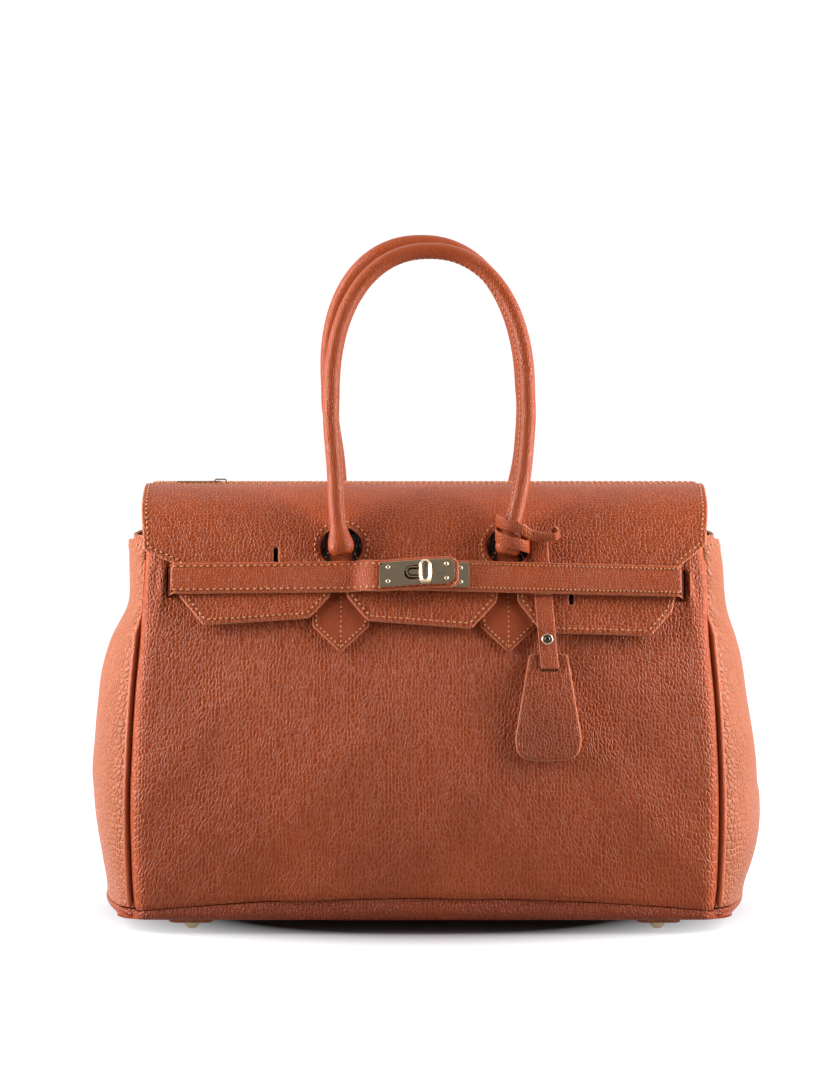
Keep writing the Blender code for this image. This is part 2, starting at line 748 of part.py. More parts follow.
def gussets(finish):
    for name, hand in (("gusset_left", -1.0), ("gusset_right", 1.0)):
        outer, inner = [], []
        for i in range(13):
            row_out, row_in = [], []
            for j in range(13):
                t = math.sin(math.pi * 0.5 * (j / 6.0 - 1.0))
                rim = GUSSET_RIM_HEIGHT - GUSSET_RIM_DIP * (1.0 - t * t)
                low = SEAM_HEIGHT_END + GAP
                height = low + (rim - low) * i / 12.0
                here = on_gusset(t, height, hand)
                t_step, h_step = 0.02, BODY_HEIGHT * 0.01
                t_run = on_gusset(min(t + t_step, 1.0), height, hand)
                t_run -= on_gusset(max(t - t_step, -1.0), height, hand)
                h_run = on_gusset(t, height + h_step, hand) - on_gusset(t, height - h_step, hand)
                normal = t_run.cross(h_run).normalized()
                if normal.x * hand < 0.0:
                    normal.negate()
                row_out.append(here)
                row_in.append(here - normal * GUSSET_THICKNESS)
            outer.append(row_out)
            inner.append(row_in)
        grid_solid(name, outer, inner, finish)


def piping(finish):
    low, high = SEAM_HEIGHT_END + PIPING_RADIUS, PIPING_TOP_HEIGHT
    for name, side, hand in (("piping_front_left", FRONT, -1.0), ("piping_front_right", FRONT, 1.0),
                             ("piping_back_left", BACK, -1.0), ("piping_back_right", BACK, 1.0)):
        path = []
        for k in range(15):
            height = low + (high - low) * k / 14.0
            depth = edge_half_depth(height) - PIPING_RADIUS - GAP
            x = hand * (panel_half_width(height) + PIPING_RADIUS * 0.4)
            path.append(Vector((x, side * depth, height)))
        ring_solid(name, tube_rings(path, [PIPING_RADIUS] * len(path), 7), finish)


def onto_plate(p, half_x, half_y, radius):
    """The nearest point to p on the rim of a rounded rectangle about the middle."""
    core_x = min(max(p.x, radius - half_x), half_x - radius)
    core_y = min(max(p.y, radius - half_y), half_y - radius)
    out = Vector((p.x - core_x, p.y - core_y)).normalized()
    return Vector((core_x + out.x * radius, core_y + out.y * radius))


def base_and_inside(finishes):
    rim = [Vector((p.x, p.y, p.z - GAP * 0.5)) for p in wall_loop(SEAM_HEIGHT_END, 0.0, True)]
    floor_x, floor_y = BASE_FLOOR_HALF_WIDTH, BASE_FLOOR_HALF_DEPTH

    def fillet(wall, floor):
        """Rings from the rim down a rounded corner to the edge of the floor."""
        rings = []
        for k in range(4):
            a = math.pi * 0.5 * k / 3.0
            ring = []
            for p in rim:
                foot = onto_plate(p, floor_x - wall, floor_y - wall, BASE_CORNER_RADIUS)
                top = Vector((p.x, p.y))
                top += (foot - top).normalized() * wall
                plan = top.lerp(foot, 1.0 - math.cos(a))
                ring.append(Vector((plan.x, plan.y, floor + (p.z - floor) * (1.0 - math.sin(a)))))
            rings.append(ring)
        return rings

    outside = fillet(0.0, BASE_LOW)
    inner = fillet(BASE_THICKNESS, BASE_HIGH)
    base = ring_solid("base_panel", list(reversed(outside)) + inner, finishes["base"])

    board_x, board_y = floor_x - BOARD_MARGIN, floor_y - BOARD_MARGIN
    board_loop = rounded_rectangle(0.0, 0.0, board_x * 2.0, board_y * 2.0, BASE_CORNER_RADIUS, 4)
    holes = []
    for x in (-FOOT_X, FOOT_X):
        for y in (-FOOT_Y, FOOT_Y):
            holes.append(circle(x, y, FOOT_STEM_RADIUS + GAP, 8))
    sheet("base_board", board_loop, holes, BODY_HALF_DEPTH, lambda x, y: Vector((x, y, BOARD_LOW)),
          lambda x, y: Vector((x, y, BOARD_HIGH)), finishes["board"])

    stem_hole = FOOT_STEM_RADIUS + GAP
    for index, (x, y) in enumerate((x, y) for y in (-FOOT_Y, FOOT_Y) for x in (-FOOT_X, FOOT_X)):
        profile = [(stem_hole, BASE_LOW - OVERRUN), (stem_hole, BASE_HIGH + OVERRUN)]
        cutter = turned("stem_cutter_%d" % index, profile, Matrix.Translation((x, y, 0.0)),
                        finishes["base"], sides=8)
        cutter.hide_render = True
        cutter.display_type = "WIRE"
        cut = base.modifiers.new("stem_hole_%d" % index, "BOOLEAN")
        cut.operation = "DIFFERENCE"
        cut.solver = "EXACT"
        cut.object = cutter
        place = ("front_left", "front_right", "back_left", "back_right")[index]
        foot_and_patch(place, x, y, finishes)


def foot_and_patch(place, x, y, finishes):
    outline = rounded_rectangle(x, y, PATCH_WIDTH, PATCH_DEPTH, PATCH_CORNER)
    sheet("foot_patch_" + place, outline, [circle(x, y, FOOT_STEM_RADIUS + GAP, 8)], PATCH_WIDTH,
          lambda u, v: Vector((u, v, PATCH_LOW)),
          lambda u, v: Vector((u, v, PATCH_LOW + PATCH_THICKNESS)), finishes["leather"])
    profile = [(FOOT_TIP_RADIUS, 0.0), (FOOT_TIP_RADIUS + FOOT_TIP_ROUND, FOOT_TIP_ROUND * 0.6),
               (FOOT_RADIUS, FOOT_HEIGHT * 0.82), (FOOT_RADIUS, FOOT_HEIGHT),
               (FOOT_STEM_RADIUS, FOOT_HEIGHT), (FOOT_STEM_RADIUS, BOARD_HIGH + GAP),
               (FOOT_RIVET_RADIUS, BOARD_HIGH + GAP), (FOOT_RIVET_RADIUS * 0.8, FOOT_TOP)]
    turned("foot_" + place, profile, Matrix.Translation((x, y, 0.0)), finishes["gold"], sides=12)


def lining_and_pocket(finish):
    low = LINING_LOW + LINING_FLOOR_RISE
    levels = [low + (LINING_RIM_HEIGHT - low) * k / 6.0 for k in range(7)]
    outer = [wall_loop(h, LINING_INSET) for h in levels]
    inner = [wall_loop(h, LINING_INSET + LINING_THICKNESS) for h in levels]
    edge_x = BASE_FLOOR_HALF_WIDTH - BASE_THICKNESS - LINING_INSET
    edge_y = BASE_FLOOR_HALF_DEPTH - BASE_THICKNESS - LINING_INSET
    floors = []
    for ring, wall in ((outer[0], 0.0), (inner[0], LINING_THICKNESS)):
        floor = []
        for p in ring:
            foot = onto_plate(p, edge_x - wall, edge_y - wall, BASE_CORNER_RADIUS)
            floor.append(Vector((foot.x, foot.y, LINING_LOW + wall)))
        floors.append(floor)
    rings = [floors[0]] + outer + list(reversed(inner)) + [floors[1]]
    ring_solid("lining", rings, finish)
    inset = -(LINING_INSET + LINING_THICKNESS + GAP * 4.0)
    low, high = between_offsets(inset - LINING_THICKNESS, inset, BACK)
    outline = rectangle(-POCKET_HALF_WIDTH, POCKET_HALF_WIDTH,
                        SKIN.walk_to_height(POCKET_HIGH), SKIN.walk_to_height(POCKET_LOW))
    sheet("inner_pocket", outline, [], PANEL_HALF_WIDTH / 6.0, low, high, finish)


def drooped(x, height):
    """The flap's tabs hang a little lower towards the right."""
    share = min(max((FLAP_DROOP_TOP - height) / (FLAP_DROOP_TOP - FLAP_DROOP_LOW), 0.0), 1.0)
    return height - FLAP_DROOP * share * x / FLAP_HALF_WIDTH


def flap_outline():
    def walk(x, height):
        return Vector((x, SKIN.walk_to_height(drooped(x, height), FLAP_HIGH)))

    def half(hand):
        neck = math.asin(KEYHOLE_NECK / KEYHOLE_RADIUS)
        begin, sweep = math.pi * 0.5 + neck, math.tau - neck * 2.0
        ring = circle(KEYHOLE_X, KEYHOLE_WALK, KEYHOLE_RADIUS, 14, begin, sweep)
        points = [walk(hand * FLAP_CENTRE_SIDE, FLAP_CENTRE_LOW),
                  walk(hand * FLAP_CENTRE_SHOULDER, FLAP_NOTCH_HEIGHT)]
        points += [Vector((hand * p.x, p.y)) for p in ring]
        points += [walk(hand * FLAP_NOTCH_SIDE, FLAP_NOTCH_HEIGHT),
                   walk(hand * FLAP_TAB_INNER, FLAP_TAB_INNER_LOW),
                   walk(hand * FLAP_TAB_OUTER, FLAP_TAB_OUTER_LOW),
                   walk(hand * FLAP_STEP_HALF_WIDTH, FLAP_TAB_SHOULDER),
                   walk(hand * FLAP_STEP_HALF_WIDTH, FLAP_STEP_LOW),
                   walk(hand * FLAP_HALF_WIDTH, FLAP_STEP_HEIGHT),
                   Vector((hand * FLAP_HALF_WIDTH, FOLD_WALK + GAP * 0.5))]
        return points

    return half(1.0) + list(reversed(half(-1.0)))


def back_drop(s, side):
    """The back has no flap, so its top leather comes down onto the panel."""
    if side == FRONT:
        return 0.0
    return (FLAP_LOW - GAP) * smooth_step(s, MOUTH_HALF_GAP, FOLD_WALK)


def flap_and_crowns(finish, mouth_front, mouth_back):
    holes = []
    for x, height in ((-FLAP_SLIT_X, FLAP_SLIT_LEFT_HEIGHT), (FLAP_SLIT_X, FLAP_SLIT_RIGHT_HEIGHT)):
        s = SKIN.walk_to_height(height, FLAP_HIGH)
        holes.append(rectangle(x - FLAP_SLIT_WIDTH * 0.5, x + FLAP_SLIT_WIDTH * 0.5,
                               s - FLAP_SLIT_LENGTH * 0.5, s + FLAP_SLIT_LENGTH * 0.5))
    holes.append(circle(LOCK_X, LOCK_WALK, LOCK_STEM_RADIUS + GAP, 8))
    low, high = between_offsets(FLAP_LOW, FLAP_HIGH)
    sheet("flap", flap_outline(), holes, FLAP_HALF_WIDTH / 12.0, low, high, finish)
    for name, side, seat in (("flap_crown", FRONT, mouth_front), ("back_crown", BACK, mouth_back)):
        faces = []
        for offset in (FLAP_HIGH, FLAP_LOW):
            rows = []
            for i in range(7):
                s = MOUTH_HALF_GAP + (FOLD_WALK - GAP * 0.5 - MOUTH_HALF_GAP) * i / 6.0
                low = offset - back_drop(s, side)
                rows.append([on_skin(FLAP_HALF_WIDTH * (j / 5.0 - 1.0), s, low, side) for j in range(11)])
            faces.append(rows)
        grid_solid(name, faces[0], faces[1], finish, seat)


def chapes(finish):
    top = SKIN.walk_to_height(CHAPE_TOP_HEIGHT, CHAPE_HIGH)
    shoulder = SKIN.walk_to_height(CHAPE_SHOULDER_HEIGHT, CHAPE_HIGH)
    corner = SKIN.walk_to_height(CHAPE_CORNER_HEIGHT, CHAPE_HIGH)
    point = SKIN.walk_to_height(CHAPE_POINT_HEIGHT, CHAPE_HIGH)
    for name, side, hand in (("chape_front_left", FRONT, -1.0), ("chape_front_right", FRONT, 1.0),
                             ("chape_back_left", BACK, -1.0), ("chape_back_right", BACK, 1.0)):
        x = hand * KEYHOLE_X
        outline = [Vector((x - CHAPE_NECK_HALF_WIDTH, top)), Vector((x + CHAPE_NECK_HALF_WIDTH, top)),
                   Vector((x + CHAPE_HALF_WIDTH, shoulder)), Vector((x + CHAPE_HALF_WIDTH, corner)),
                   Vector((x, point)), Vector((x - CHAPE_HALF_WIDTH, corner)),
                   Vector((x - CHAPE_HALF_WIDTH, shoulder))]
        low, high = between_offsets(CHAPE_LOW, CHAPE_HIGH, side)
        sheet(name, outline, [], CHAPE_HALF_WIDTH * 0.8, low, high, finish)


def handle_path(lean, side):
    """Centre line of a handle, from one root to the other."""
    seat = on_skin(KEYHOLE_X, PIVOT_WALK, HANDLE_OFFSET, side)
    arch_start = HANDLE_HEIGHT - HANDLE_ARCH_HEIGHT
    spread = HANDLE_HALF_WIDTH - KEYHOLE_X
    leg = [Vector((KEYHOLE_X, 0.0)), Vector((KEYHOLE_X + spread * 0.55, arch_start * 0.32)),
           Vector((HANDLE_HALF_WIDTH, arch_start * 0.78)), Vector((HANDLE_HALF_WIDTH, arch_start))]
    leg_line = curve_through(leg, 2)
    down = (leg_line[0] - leg_line[1]).normalized() * HANDLE_ROOT_LENGTH
    half = [leg_line[0] + down, leg_line[0] + down * 0.5] + leg_line[:-1]
    for k in range(9):
        a = math.pi * 0.5 * k / 8.0
        rise = arch_start + HANDLE_ARCH_HEIGHT * math.sin(a)
        half.append(Vector((HANDLE_HALF_WIDTH * math.cos(a), rise)))
    flat = half + [Vector((-p.x, p.y)) for p in reversed(half[:-1])]
    path = []
    for p in flat:
        path.append(Vector((p.x, seat.y - side * p.y * math.sin(lean), seat.z + p.y * math.cos(lean))))
    return path


def handle_radius(rise):
    """Radius of a handle at a distance above its pivot, with its rounded foot."""
    if rise < 0.0:
        return math.sqrt(HANDLE_ROOT_RADIUS ** 2 - rise ** 2)
    swell = 1.0 - smooth_step(rise, 0.0, HANDLE_SWELL_LENGTH)
    return HANDLE_RADIUS + (HANDLE_ROOT_RADIUS - HANDLE_RADIUS) * swell


def handles(finishes, front_seat, back_seat):
    for word, side, lean, seat in (("front", FRONT, FRONT_HANDLE_LEAN, front_seat),
                                   ("back", BACK, BACK_HANDLE_LEAN, back_seat)):
        path = handle_path(lean, side)
        walked = [0.0]
        for a, b in zip(path, path[1:]):
            walked.append(walked[-1] + (b - a).length)
        radii = [handle_radius(min(d, walked[-1] - d) - HANDLE_ROOT_LENGTH) for d in walked]
        outer = tube_rings(path, radii, SIDES_ROUND)
        bore = tube_rings(path, [HANDLE_BORE_RADIUS] * len(path), SIDES_ROUND)
        ring_loop("handle_" + word, outer + list(reversed(bore)), finishes["leather"], seat)
        core_radius = (HANDLE_BORE_RADIUS - GAP) * math.cos(math.pi / SIDES_ROUND)
        core = tube_rings(path[2:-2], [core_radius] * (len(path) - 4), CORE_SIDES)
        ring_solid("handle_core_" + word, core, finishes["board"], seat)


def strap_walk(x):
    """Walked distance of the belt's middle line at width x."""
    lock = LOCK_WALK
    if x < LOCK_X:
        end, height = STRAP_LEFT_SLIT_X, STRAP_LEFT_SLIT_HEIGHT
    else:
        end, height = STRAP_RIGHT_SLIT_X, STRAP_RIGHT_SLIT_HEIGHT
    slit = SKIN.walk_to_height(height)
    return lock + (slit - lock) * (x - LOCK_X) / (end - LOCK_X)


def strap_left_offset(x):
    rise = smooth_step(x, STRAP_LEFT_SLIT_X, STRAP_LEFT_SLIT_X + STRAP_RAMP)
    step = smooth_step(x, -STRAP_STEP_START, -STRAP_STEP_END)
    return GAP + (STRAP_ON_FLAP - GAP) * rise + (STRAP_LEFT_LOW - STRAP_ON_FLAP) * step


def strap_right_offset(x):
    rise = smooth_step(-x, -STRAP_RIGHT_SLIT_X, -STRAP_RIGHT_SLIT_X + STRAP_RAMP)
    return GAP + (STRAP_RIGHT_LOW - GAP) * rise


def strap_outline(start, end, chamfer, margin, breaks=()):
    """A band on either side of the belt's middle line, with cut corners at its end."""
    half = STRAP_WIDTH * 0.5 - margin
    lower = [Vector((x, -half)) for x in breaks]
    upper = [Vector((x, half)) for x in reversed(breaks)]
    tip = [Vector((end - chamfer, -half)), Vector((end, -half + chamfer)),
           Vector((end, half - chamfer)), Vector((end - chamfer, half))]
    return [Vector((start, -half))] + lower + tip + upper + [Vector((start, half))]


def rivet_places(start, end):
    return [(x, v) for x in (start + RIVET_INSET, end - RIVET_INSET) for v in (-RIVET_RISE, RIVET_RISE)]


def slot_loop(start, end, grow):
    radius = SLOT_HEIGHT * 0.5 + grow
    left = circle(start - grow + radius, 0.0, radius, 6, math.pi * 0.5, math.pi)
    right = circle(end + grow - radius, 0.0, radius, 6, -math.pi * 0.5, math.pi)
    return left + right


def belt(finishes, left_seat, right_seat):
    ramp = [STRAP_RAMP * share for share in RAMP_BREAK_SHARES]
    step = [-STRAP_STEP_START + (STRAP_STEP_START - STRAP_STEP_END) * share for share in RAMP_BREAK_SHARES]
    left_bends = [STRAP_LEFT_SLIT_X + run for run in ramp] + step
    right_bends = [STRAP_RIGHT_SLIT_X - run for run in ramp]
    sides = (
        ("left", strap_left_offset, STRAP_LEFT_SLIT_X, PLATE_LEFT_START, PLATE_LEFT_END,
         PLATE_LEFT_LOW, left_seat, 1.0, left_bends),
        ("right", strap_right_offset, STRAP_RIGHT_SLIT_X, PLATE_RIGHT_END, PLATE_RIGHT_START,
         PLATE_RIGHT_LOW, right_seat, -1.0, right_bends),
    )
    for word, offset_at, slit, plate_start, plate_end, plate_low, seat, hand, bends in sides:
        start = slit + hand * STRAP_SLIT_WIDTH * 0.5
        end = plate_end + hand * STRAP_END_MARGIN
        places = rivet_places(min(plate_start, plate_end), max(plate_start, plate_end))

        def laid(offset):
            def place(x, v):
                return on_skin(x, strap_walk(x) + v, offset(x))
            return place

        chamfer = PLATE_CHAMFER
        breaks = [x * hand for x in bends]
        outline = strap_outline(start * hand, end * hand, chamfer, 0.0, breaks)
        outline = [Vector((p.x * hand, p.y)) for p in outline]
        creases = [(Vector((x, -STRAP_WIDTH * 0.5)), Vector((x, STRAP_WIDTH * 0.5))) for x in bends]
        holes = [slot_loop(SLOT_START, SLOT_END, GAP)]
        holes += [circle(x, v, RIVET_STEM_RADIUS + GAP, 6) for x, v in places]
        sheet("strap_" + word, outline, holes, STRAP_WIDTH * 0.5, laid(offset_at),
              laid(lambda x: offset_at(x) + STRAP_THICKNESS), finishes["leather"], seat, creases)
        margin = (STRAP_WIDTH - PLATE_HEIGHT) * 0.5
        plate = strap_outline(plate_start * hand, plate_end * hand, chamfer, margin)
        plate = [Vector((p.x * hand, p.y)) for p in plate]
        holes = [slot_loop(SLOT_START, SLOT_END, 0.0)]
        holes += [circle(x, v, RIVET_STEM_RADIUS + GAP, 6) for x, v in places]
        sheet("plate_" + word, plate, holes, STRAP_WIDTH * 0.6, laid(lambda x: plate_low),
              laid(lambda x: plate_low + PLATE_THICKNESS), finishes["gold"], seat)
        for index, (x, v) in enumerate(places):
            head = plate_low + PLATE_THICKNESS + GAP
            tail = -(STRAP_THICKNESS + PLATE_THICKNESS + GAP * 2.0)
            profile = [(RIVET_STEM_RADIUS, tail), (RIVET_STEM_RADIUS, 0.0), (RIVET_HEAD_RADIUS, 0.0),
                       (RIVET_HEAD_RADIUS * 0.7, RIVET_HEAD_HEIGHT * 0.8),
                       (RIVET_HEAD_RADIUS * 0.2, RIVET_HEAD_HEIGHT)]
            turned("rivet_%s_%d" % (word, index + 1), profile, skin_frame(x, strap_walk(x) + v, head),
                   finishes["gold"], seat, sides=8)
        strap_root(word, slit, hand, finishes["leather"])


def strap_root(word, slit, hand, finish):
    """The strap's sewn end: it fills the slit and lies on the panel's inner face."""
    height = STRAP_LEFT_SLIT_HEIGHT if word == "left" else STRAP_RIGHT_SLIT_HEIGHT
    s = SKIN.walk_to_height(height)
    half = STRAP_WIDTH * 0.5 - GAP
    low = -(PANEL_THICKNESS + GAP + ROOT_THICKNESS)
    middle = -(PANEL_THICKNESS + GAP)
    near = STRAP_SLIT_WIDTH * 0.5 - GAP
    section = [(-near, low), (ROOT_LENGTH, low), (ROOT_LENGTH, middle),
               (near, middle), (near, GAP), (-near, GAP)]
    rings = []
    for v in (-half, 0.0, half):
        rings.append([on_skin(slit + hand * a, s + v, b) for a, b in section])
    ring_solid("strap_root_" + word, rings, finish)


def lock(finishes, knob_seat):
    frame = skin_frame(LOCK_X, LOCK_WALK, 0.0)
    plate = turned("lock_base", [
        (LOCK_FLANGE_RADIUS, CHAPE_LOW), (LOCK_FLANGE_RADIUS, CHAPE_LOW + GAP * 2.0),
        (LOCK_STEM_RADIUS, CHAPE_LOW + GAP * 3.0), (LOCK_STEM_RADIUS, LOCK_PLATE_LOW),
        (LOCK_PLATE_HEIGHT * 0.45, LOCK_PLATE_LOW), (LOCK_PLATE_HEIGHT * 0.45, LOCK_PLATE_HIGH),
        (LOCK_POST_RADIUS, LOCK_PLATE_HIGH), (LOCK_POST_RADIUS, PLATE_LEFT_HIGH + GAP)],
        frame, finishes["gold"], sides=12)
    wing = rounded_rectangle(0.0, 0.0, LOCK_PLATE_LENGTH, LOCK_PLATE_HEIGHT, LOCK_PLATE_HEIGHT * 0.3)
    thin = PLATE_THICKNESS * 0.1
    cutter = sheet("lock_wing", wing, [], LOCK_PLATE_LENGTH,
                   lambda x, y: frame @ Vector((x, y, LOCK_PLATE_LOW + thin)),
                   lambda x, y: frame @ Vector((x, y, LOCK_PLATE_HIGH - thin)), finishes["gold"])
    cutter.hide_render = True
    cutter.display_type = "WIRE"
    join = plate.modifiers.new("wings", "BOOLEAN")
    join.operation = "UNION"
    join.solver = "EXACT"
    join.object = cutter
    washer = circle(0.0, 0.0, LOCK_WASHER_RADIUS, 12)
    hole = circle(0.0, 0.0, LOCK_STEM_RADIUS + GAP, 12)
    low = FLAP_LOW - GAP - PLATE_THICKNESS
    sheet("lock_backplate", washer, [hole], LOCK_WASHER_RADIUS,
          lambda x, y: frame @ Vector((x, y, low)),
          lambda x, y: frame @ Vector((x, y, low + PLATE_THICKNESS)), finishes["gold"])
    base = PLATE_LEFT_HIGH + GAP * 2.0
    half_width, half_length = KNOB_WIDTH * 0.5, KNOB_LENGTH * 0.5
    shape = [(half_width * x, half_length * y) for x, y in KNOB_OUTLINE_SHARES]
    rings = []
    for shrink, height in ((KNOB_BEVEL, 0.0), (0.0, KNOB_BEVEL), (0.0, KNOB_THICKNESS - KNOB_BEVEL),
                           (KNOB_BEVEL, KNOB_THICKNESS)):
        scale_x, scale_y = 1.0 - shrink / half_width, 1.0 - shrink / half_length
        rings.append([frame @ Vector((x * scale_x, y * scale_y, base + height)) for x, y in shape])
    ring_solid("turn_knob", rings, finishes["gold"], knob_seat)


def strip(name, section, half_length, side, finish, parent):
    """A straight strip along the zip: (walked, offset) section swept over x."""
    outline = resample([Vector(corner) for corner in section], STRIP_SPACING)
    rings = []
    for k in range(9):
        x = half_length * (k / 4.0 - 1.0)
        rings.append([on_skin(x, p.x, p.y - back_drop(p.x, side), side) for p in outline])
    ring_solid(name, rings, finish, parent)


def zip_levels():
    tape_high = FLAP_LOW - GAP
    tape_low = tape_high - TAPE_THICKNESS
    teeth_low = (tape_high + tape_low) * 0.5 - TEETH_HEIGHT * 0.5
    return tape_low, tape_high, teeth_low, teeth_low + TEETH_HEIGHT


def zip_parts(finishes, mouth_front, mouth_back, slider_seat, pull_seat):
    tape_low, tape_high, teeth_low, teeth_high = zip_levels()
    edge = TEETH_HALF_GAP
    for word, side, seat in (("front", FRONT, mouth_front), ("back", BACK, mouth_back)):
        teeth = edge + TEETH_WIDTH
        tape = [(edge, teeth_low), (teeth, teeth_low), (teeth, tape_low), (TAPE_REACH, tape_low),
                (TAPE_REACH, tape_high), (teeth, tape_high), (teeth, teeth_high), (edge, teeth_high)]
        strip("zip_tape_" + word, tape, ZIP_HALF_LENGTH, side, finishes["tape"], seat)
        high = tape_low - GAP
        low = high - FACING_THICKNESS
        end = FOLD_WALK - GAP * 4.0
        begin = MOUTH_HALF_GAP + FACING_SETBACK
        strip("zip_facing_" + word, [(begin, low), (end, low), (end, high), (begin, high)],
              FACING_HALF_LENGTH, side, finishes["leather"], seat)

    floor = BODY_HEIGHT
    top_low = floor + teeth_high + GAP
    top_high = top_low + SLIDER_PLATE
    foot = floor + (teeth_low + teeth_high) * 0.5
    wide, neck = SLIDER_HALF_WIDTH, SLIDER_NECK_HALF
    section = [(-neck, foot), (neck, foot), (neck, top_low), (wide, top_low), (wide, top_high),
               (-wide, top_high), (-wide, top_low), (-neck, top_low)]
    rings = []
    for k in (-0.5, 0.5):
        rings.append([Vector((SLIDER_X + SLIDER_LENGTH * k, y, z)) for y, z in section])
    slider = ring_solid("zip_slider", rings, finishes["gold"], slider_seat)
    pivot = pull_pivot_height()
    radius = PULL_THICKNESS * 0.72
    arch_in, arch_out = pivot + radius + GAP, pivot + radius + GAP + BRIDGE_THICKNESS
    reach, legs = BRIDGE_HALF_LENGTH, BRIDGE_HALF_LENGTH - BRIDGE_THICKNESS
    sunk = top_high - SLIDER_PLATE * 0.5
    arch = [(-reach, sunk), (-reach, arch_in), (-legs, arch_out), (legs, arch_out), (reach, arch_in),
            (reach, sunk), (legs, sunk), (legs, arch_in), (-legs, arch_in), (-legs, sunk)]
    rings = []
    for y in (-BRIDGE_HALF_WIDTH, BRIDGE_HALF_WIDTH):
        rings.append([Vector((SLIDER_X + x, y, z)) for x, z in arch])
    bridge = ring_solid("slider_bridge", rings, finishes["gold"], slider_seat)
    bridge.hide_render = True
    bridge.display_type = "WIRE"
    join = slider.modifiers.new("bridge", "BOOLEAN")
    join.operation = "UNION"
    join.solver = "EXACT"
    join.object = bridge

    half = PULL_THICKNESS * 0.5
    window = rectangle(-PULL_WINDOW_LENGTH, -half, -BRIDGE_HALF_WIDTH - GAP, BRIDGE_HALF_WIDTH + GAP)
    outline = rectangle(-PULL_LENGTH, half, -PULL_WIDTH * 0.5, PULL_WIDTH * 0.5)
    sheet("zip_pull", outline, [window], PULL_LENGTH * 0.3,
          lambda x, y: Vector((SLIDER_X + x, y, pivot - half)),
          lambda x, y: Vector((SLIDER_X + x, y, pivot + half)), finishes["gold"], pull_seat)


def pull_pivot_height():
    _, _, _, teeth_high = zip_levels()
    return BODY_HEIGHT + teeth_high + GAP * 2.0 + SLIDER_PLATE + PULL_THICKNESS * 0.72


def tag_strap_centre(height):
    """Width of the tag strap's middle line at a height."""
    spots = ((TAG_STRAP_LOW_HEIGHT, TAG_STRAP_LOW_X), (TAG_STRAP_HINGE_HEIGHT, TAG_STRAP_HINGE_X),
             (TAG_STRAP_TOP_HEIGHT, TAG_STRAP_TOP_X))
    return read_shares(spots, height)


def tag_parts(finishes, strap_seat, tag_seat, handle_seat):
    half = TAG_STRAP_WIDTH * 0.5
    strap_low = TAG_OFFSET + TAG_THICKNESS + GAP

    def band(name, low_height, high_height, rows, seat, holes=()):
        outline = []
        for hand in (1.0, -1.0):
            order = range(rows + 1) if hand > 0 else range(rows, -1, -1)
            for k in order:
                height = high_height + (low_height - high_height) * k / rows
                x = tag_strap_centre(height) + hand * half
                outline.append(Vector((x, SKIN.walk_to_height(height))))

        def offset(s):
            height = SKIN.at(s)[0].y
            share = smooth_step(height, TAG_TOP_HEIGHT, TAG_STRAP_LEAVE_HEIGHT)
            return strap_low + (TAG_STRAP_LOW - strap_low) * share

        sheet(name, outline, list(holes), TAG_STRAP_WIDTH * 0.6, lambda x, s: on_skin(x, s, offset(s)),
              lambda x, s: on_skin(x, s, offset(s) + TAG_STRAP_THICKNESS), finishes["leather"], seat)
        return offset

    band("tag_strap_upper", TAG_STRAP_HINGE_HEIGHT + GAP * 0.5, TAG_STRAP_TOP_HEIGHT, 4, None)
    rivet_x, rivet_s = tag_strap_centre(TAG_RIVET_HEIGHT), SKIN.walk_to_height(TAG_RIVET_HEIGHT)
    hole = circle(rivet_x, rivet_s, RIVET_STEM_RADIUS + GAP, 6)
    hinge = TAG_STRAP_HINGE_HEIGHT - GAP * 0.5
    offset = band("tag_strap", TAG_STRAP_LOW_HEIGHT, hinge, 6, strap_seat, [hole])
    head = offset(rivet_s) + TAG_STRAP_THICKNESS + GAP
    tail = -(TAG_STRAP_THICKNESS + GAP)
    profile = [(RIVET_STEM_RADIUS, tail), (RIVET_STEM_RADIUS, 0.0), (TAG_RIVET_RADIUS, 0.0),
               (TAG_RIVET_RADIUS * 0.85, RIVET_HEAD_HEIGHT * 1.4),
               (TAG_RIVET_RADIUS * 0.5, RIVET_HEAD_HEIGHT)]
    turned("tag_rivet", profile, skin_frame(rivet_x, rivet_s, head), finishes["gold"], strap_seat, sides=12)

    top, low = SKIN.walk_to_height(TAG_TOP_HEIGHT), SKIN.walk_to_height(TAG_LOW_HEIGHT)
    top_x = tag_strap_centre(TAG_TOP_HEIGHT)
    outline = [Vector((top_x - TAG_TOP_HALF_WIDTH, top)), Vector((top_x + TAG_TOP_HALF_WIDTH, top))]
    for x, drop in TAG_FOOT_SHARES:
        outline.append(Vector((TAG_LOW_X + TAG_LOW_HALF_WIDTH * x, top + (low - top) * drop)))
    slot_x, slot_s = tag_strap_centre(TAG_STRAP_LOW_HEIGHT), SKIN.walk_to_height(TAG_STRAP_LOW_HEIGHT)
    slot = rectangle(slot_x - half, slot_x + half, slot_s, slot_s + TAG_SLOT_HEIGHT)
    low_face, high_face = between_offsets(TAG_OFFSET, TAG_OFFSET + TAG_THICKNESS)
    sheet("tag", outline, [slot], TAG_LOW_HALF_WIDTH * 0.6, low_face, high_face, finishes["leather"],
          tag_seat)
    tag_tie(finishes["leather"], handle_seat)


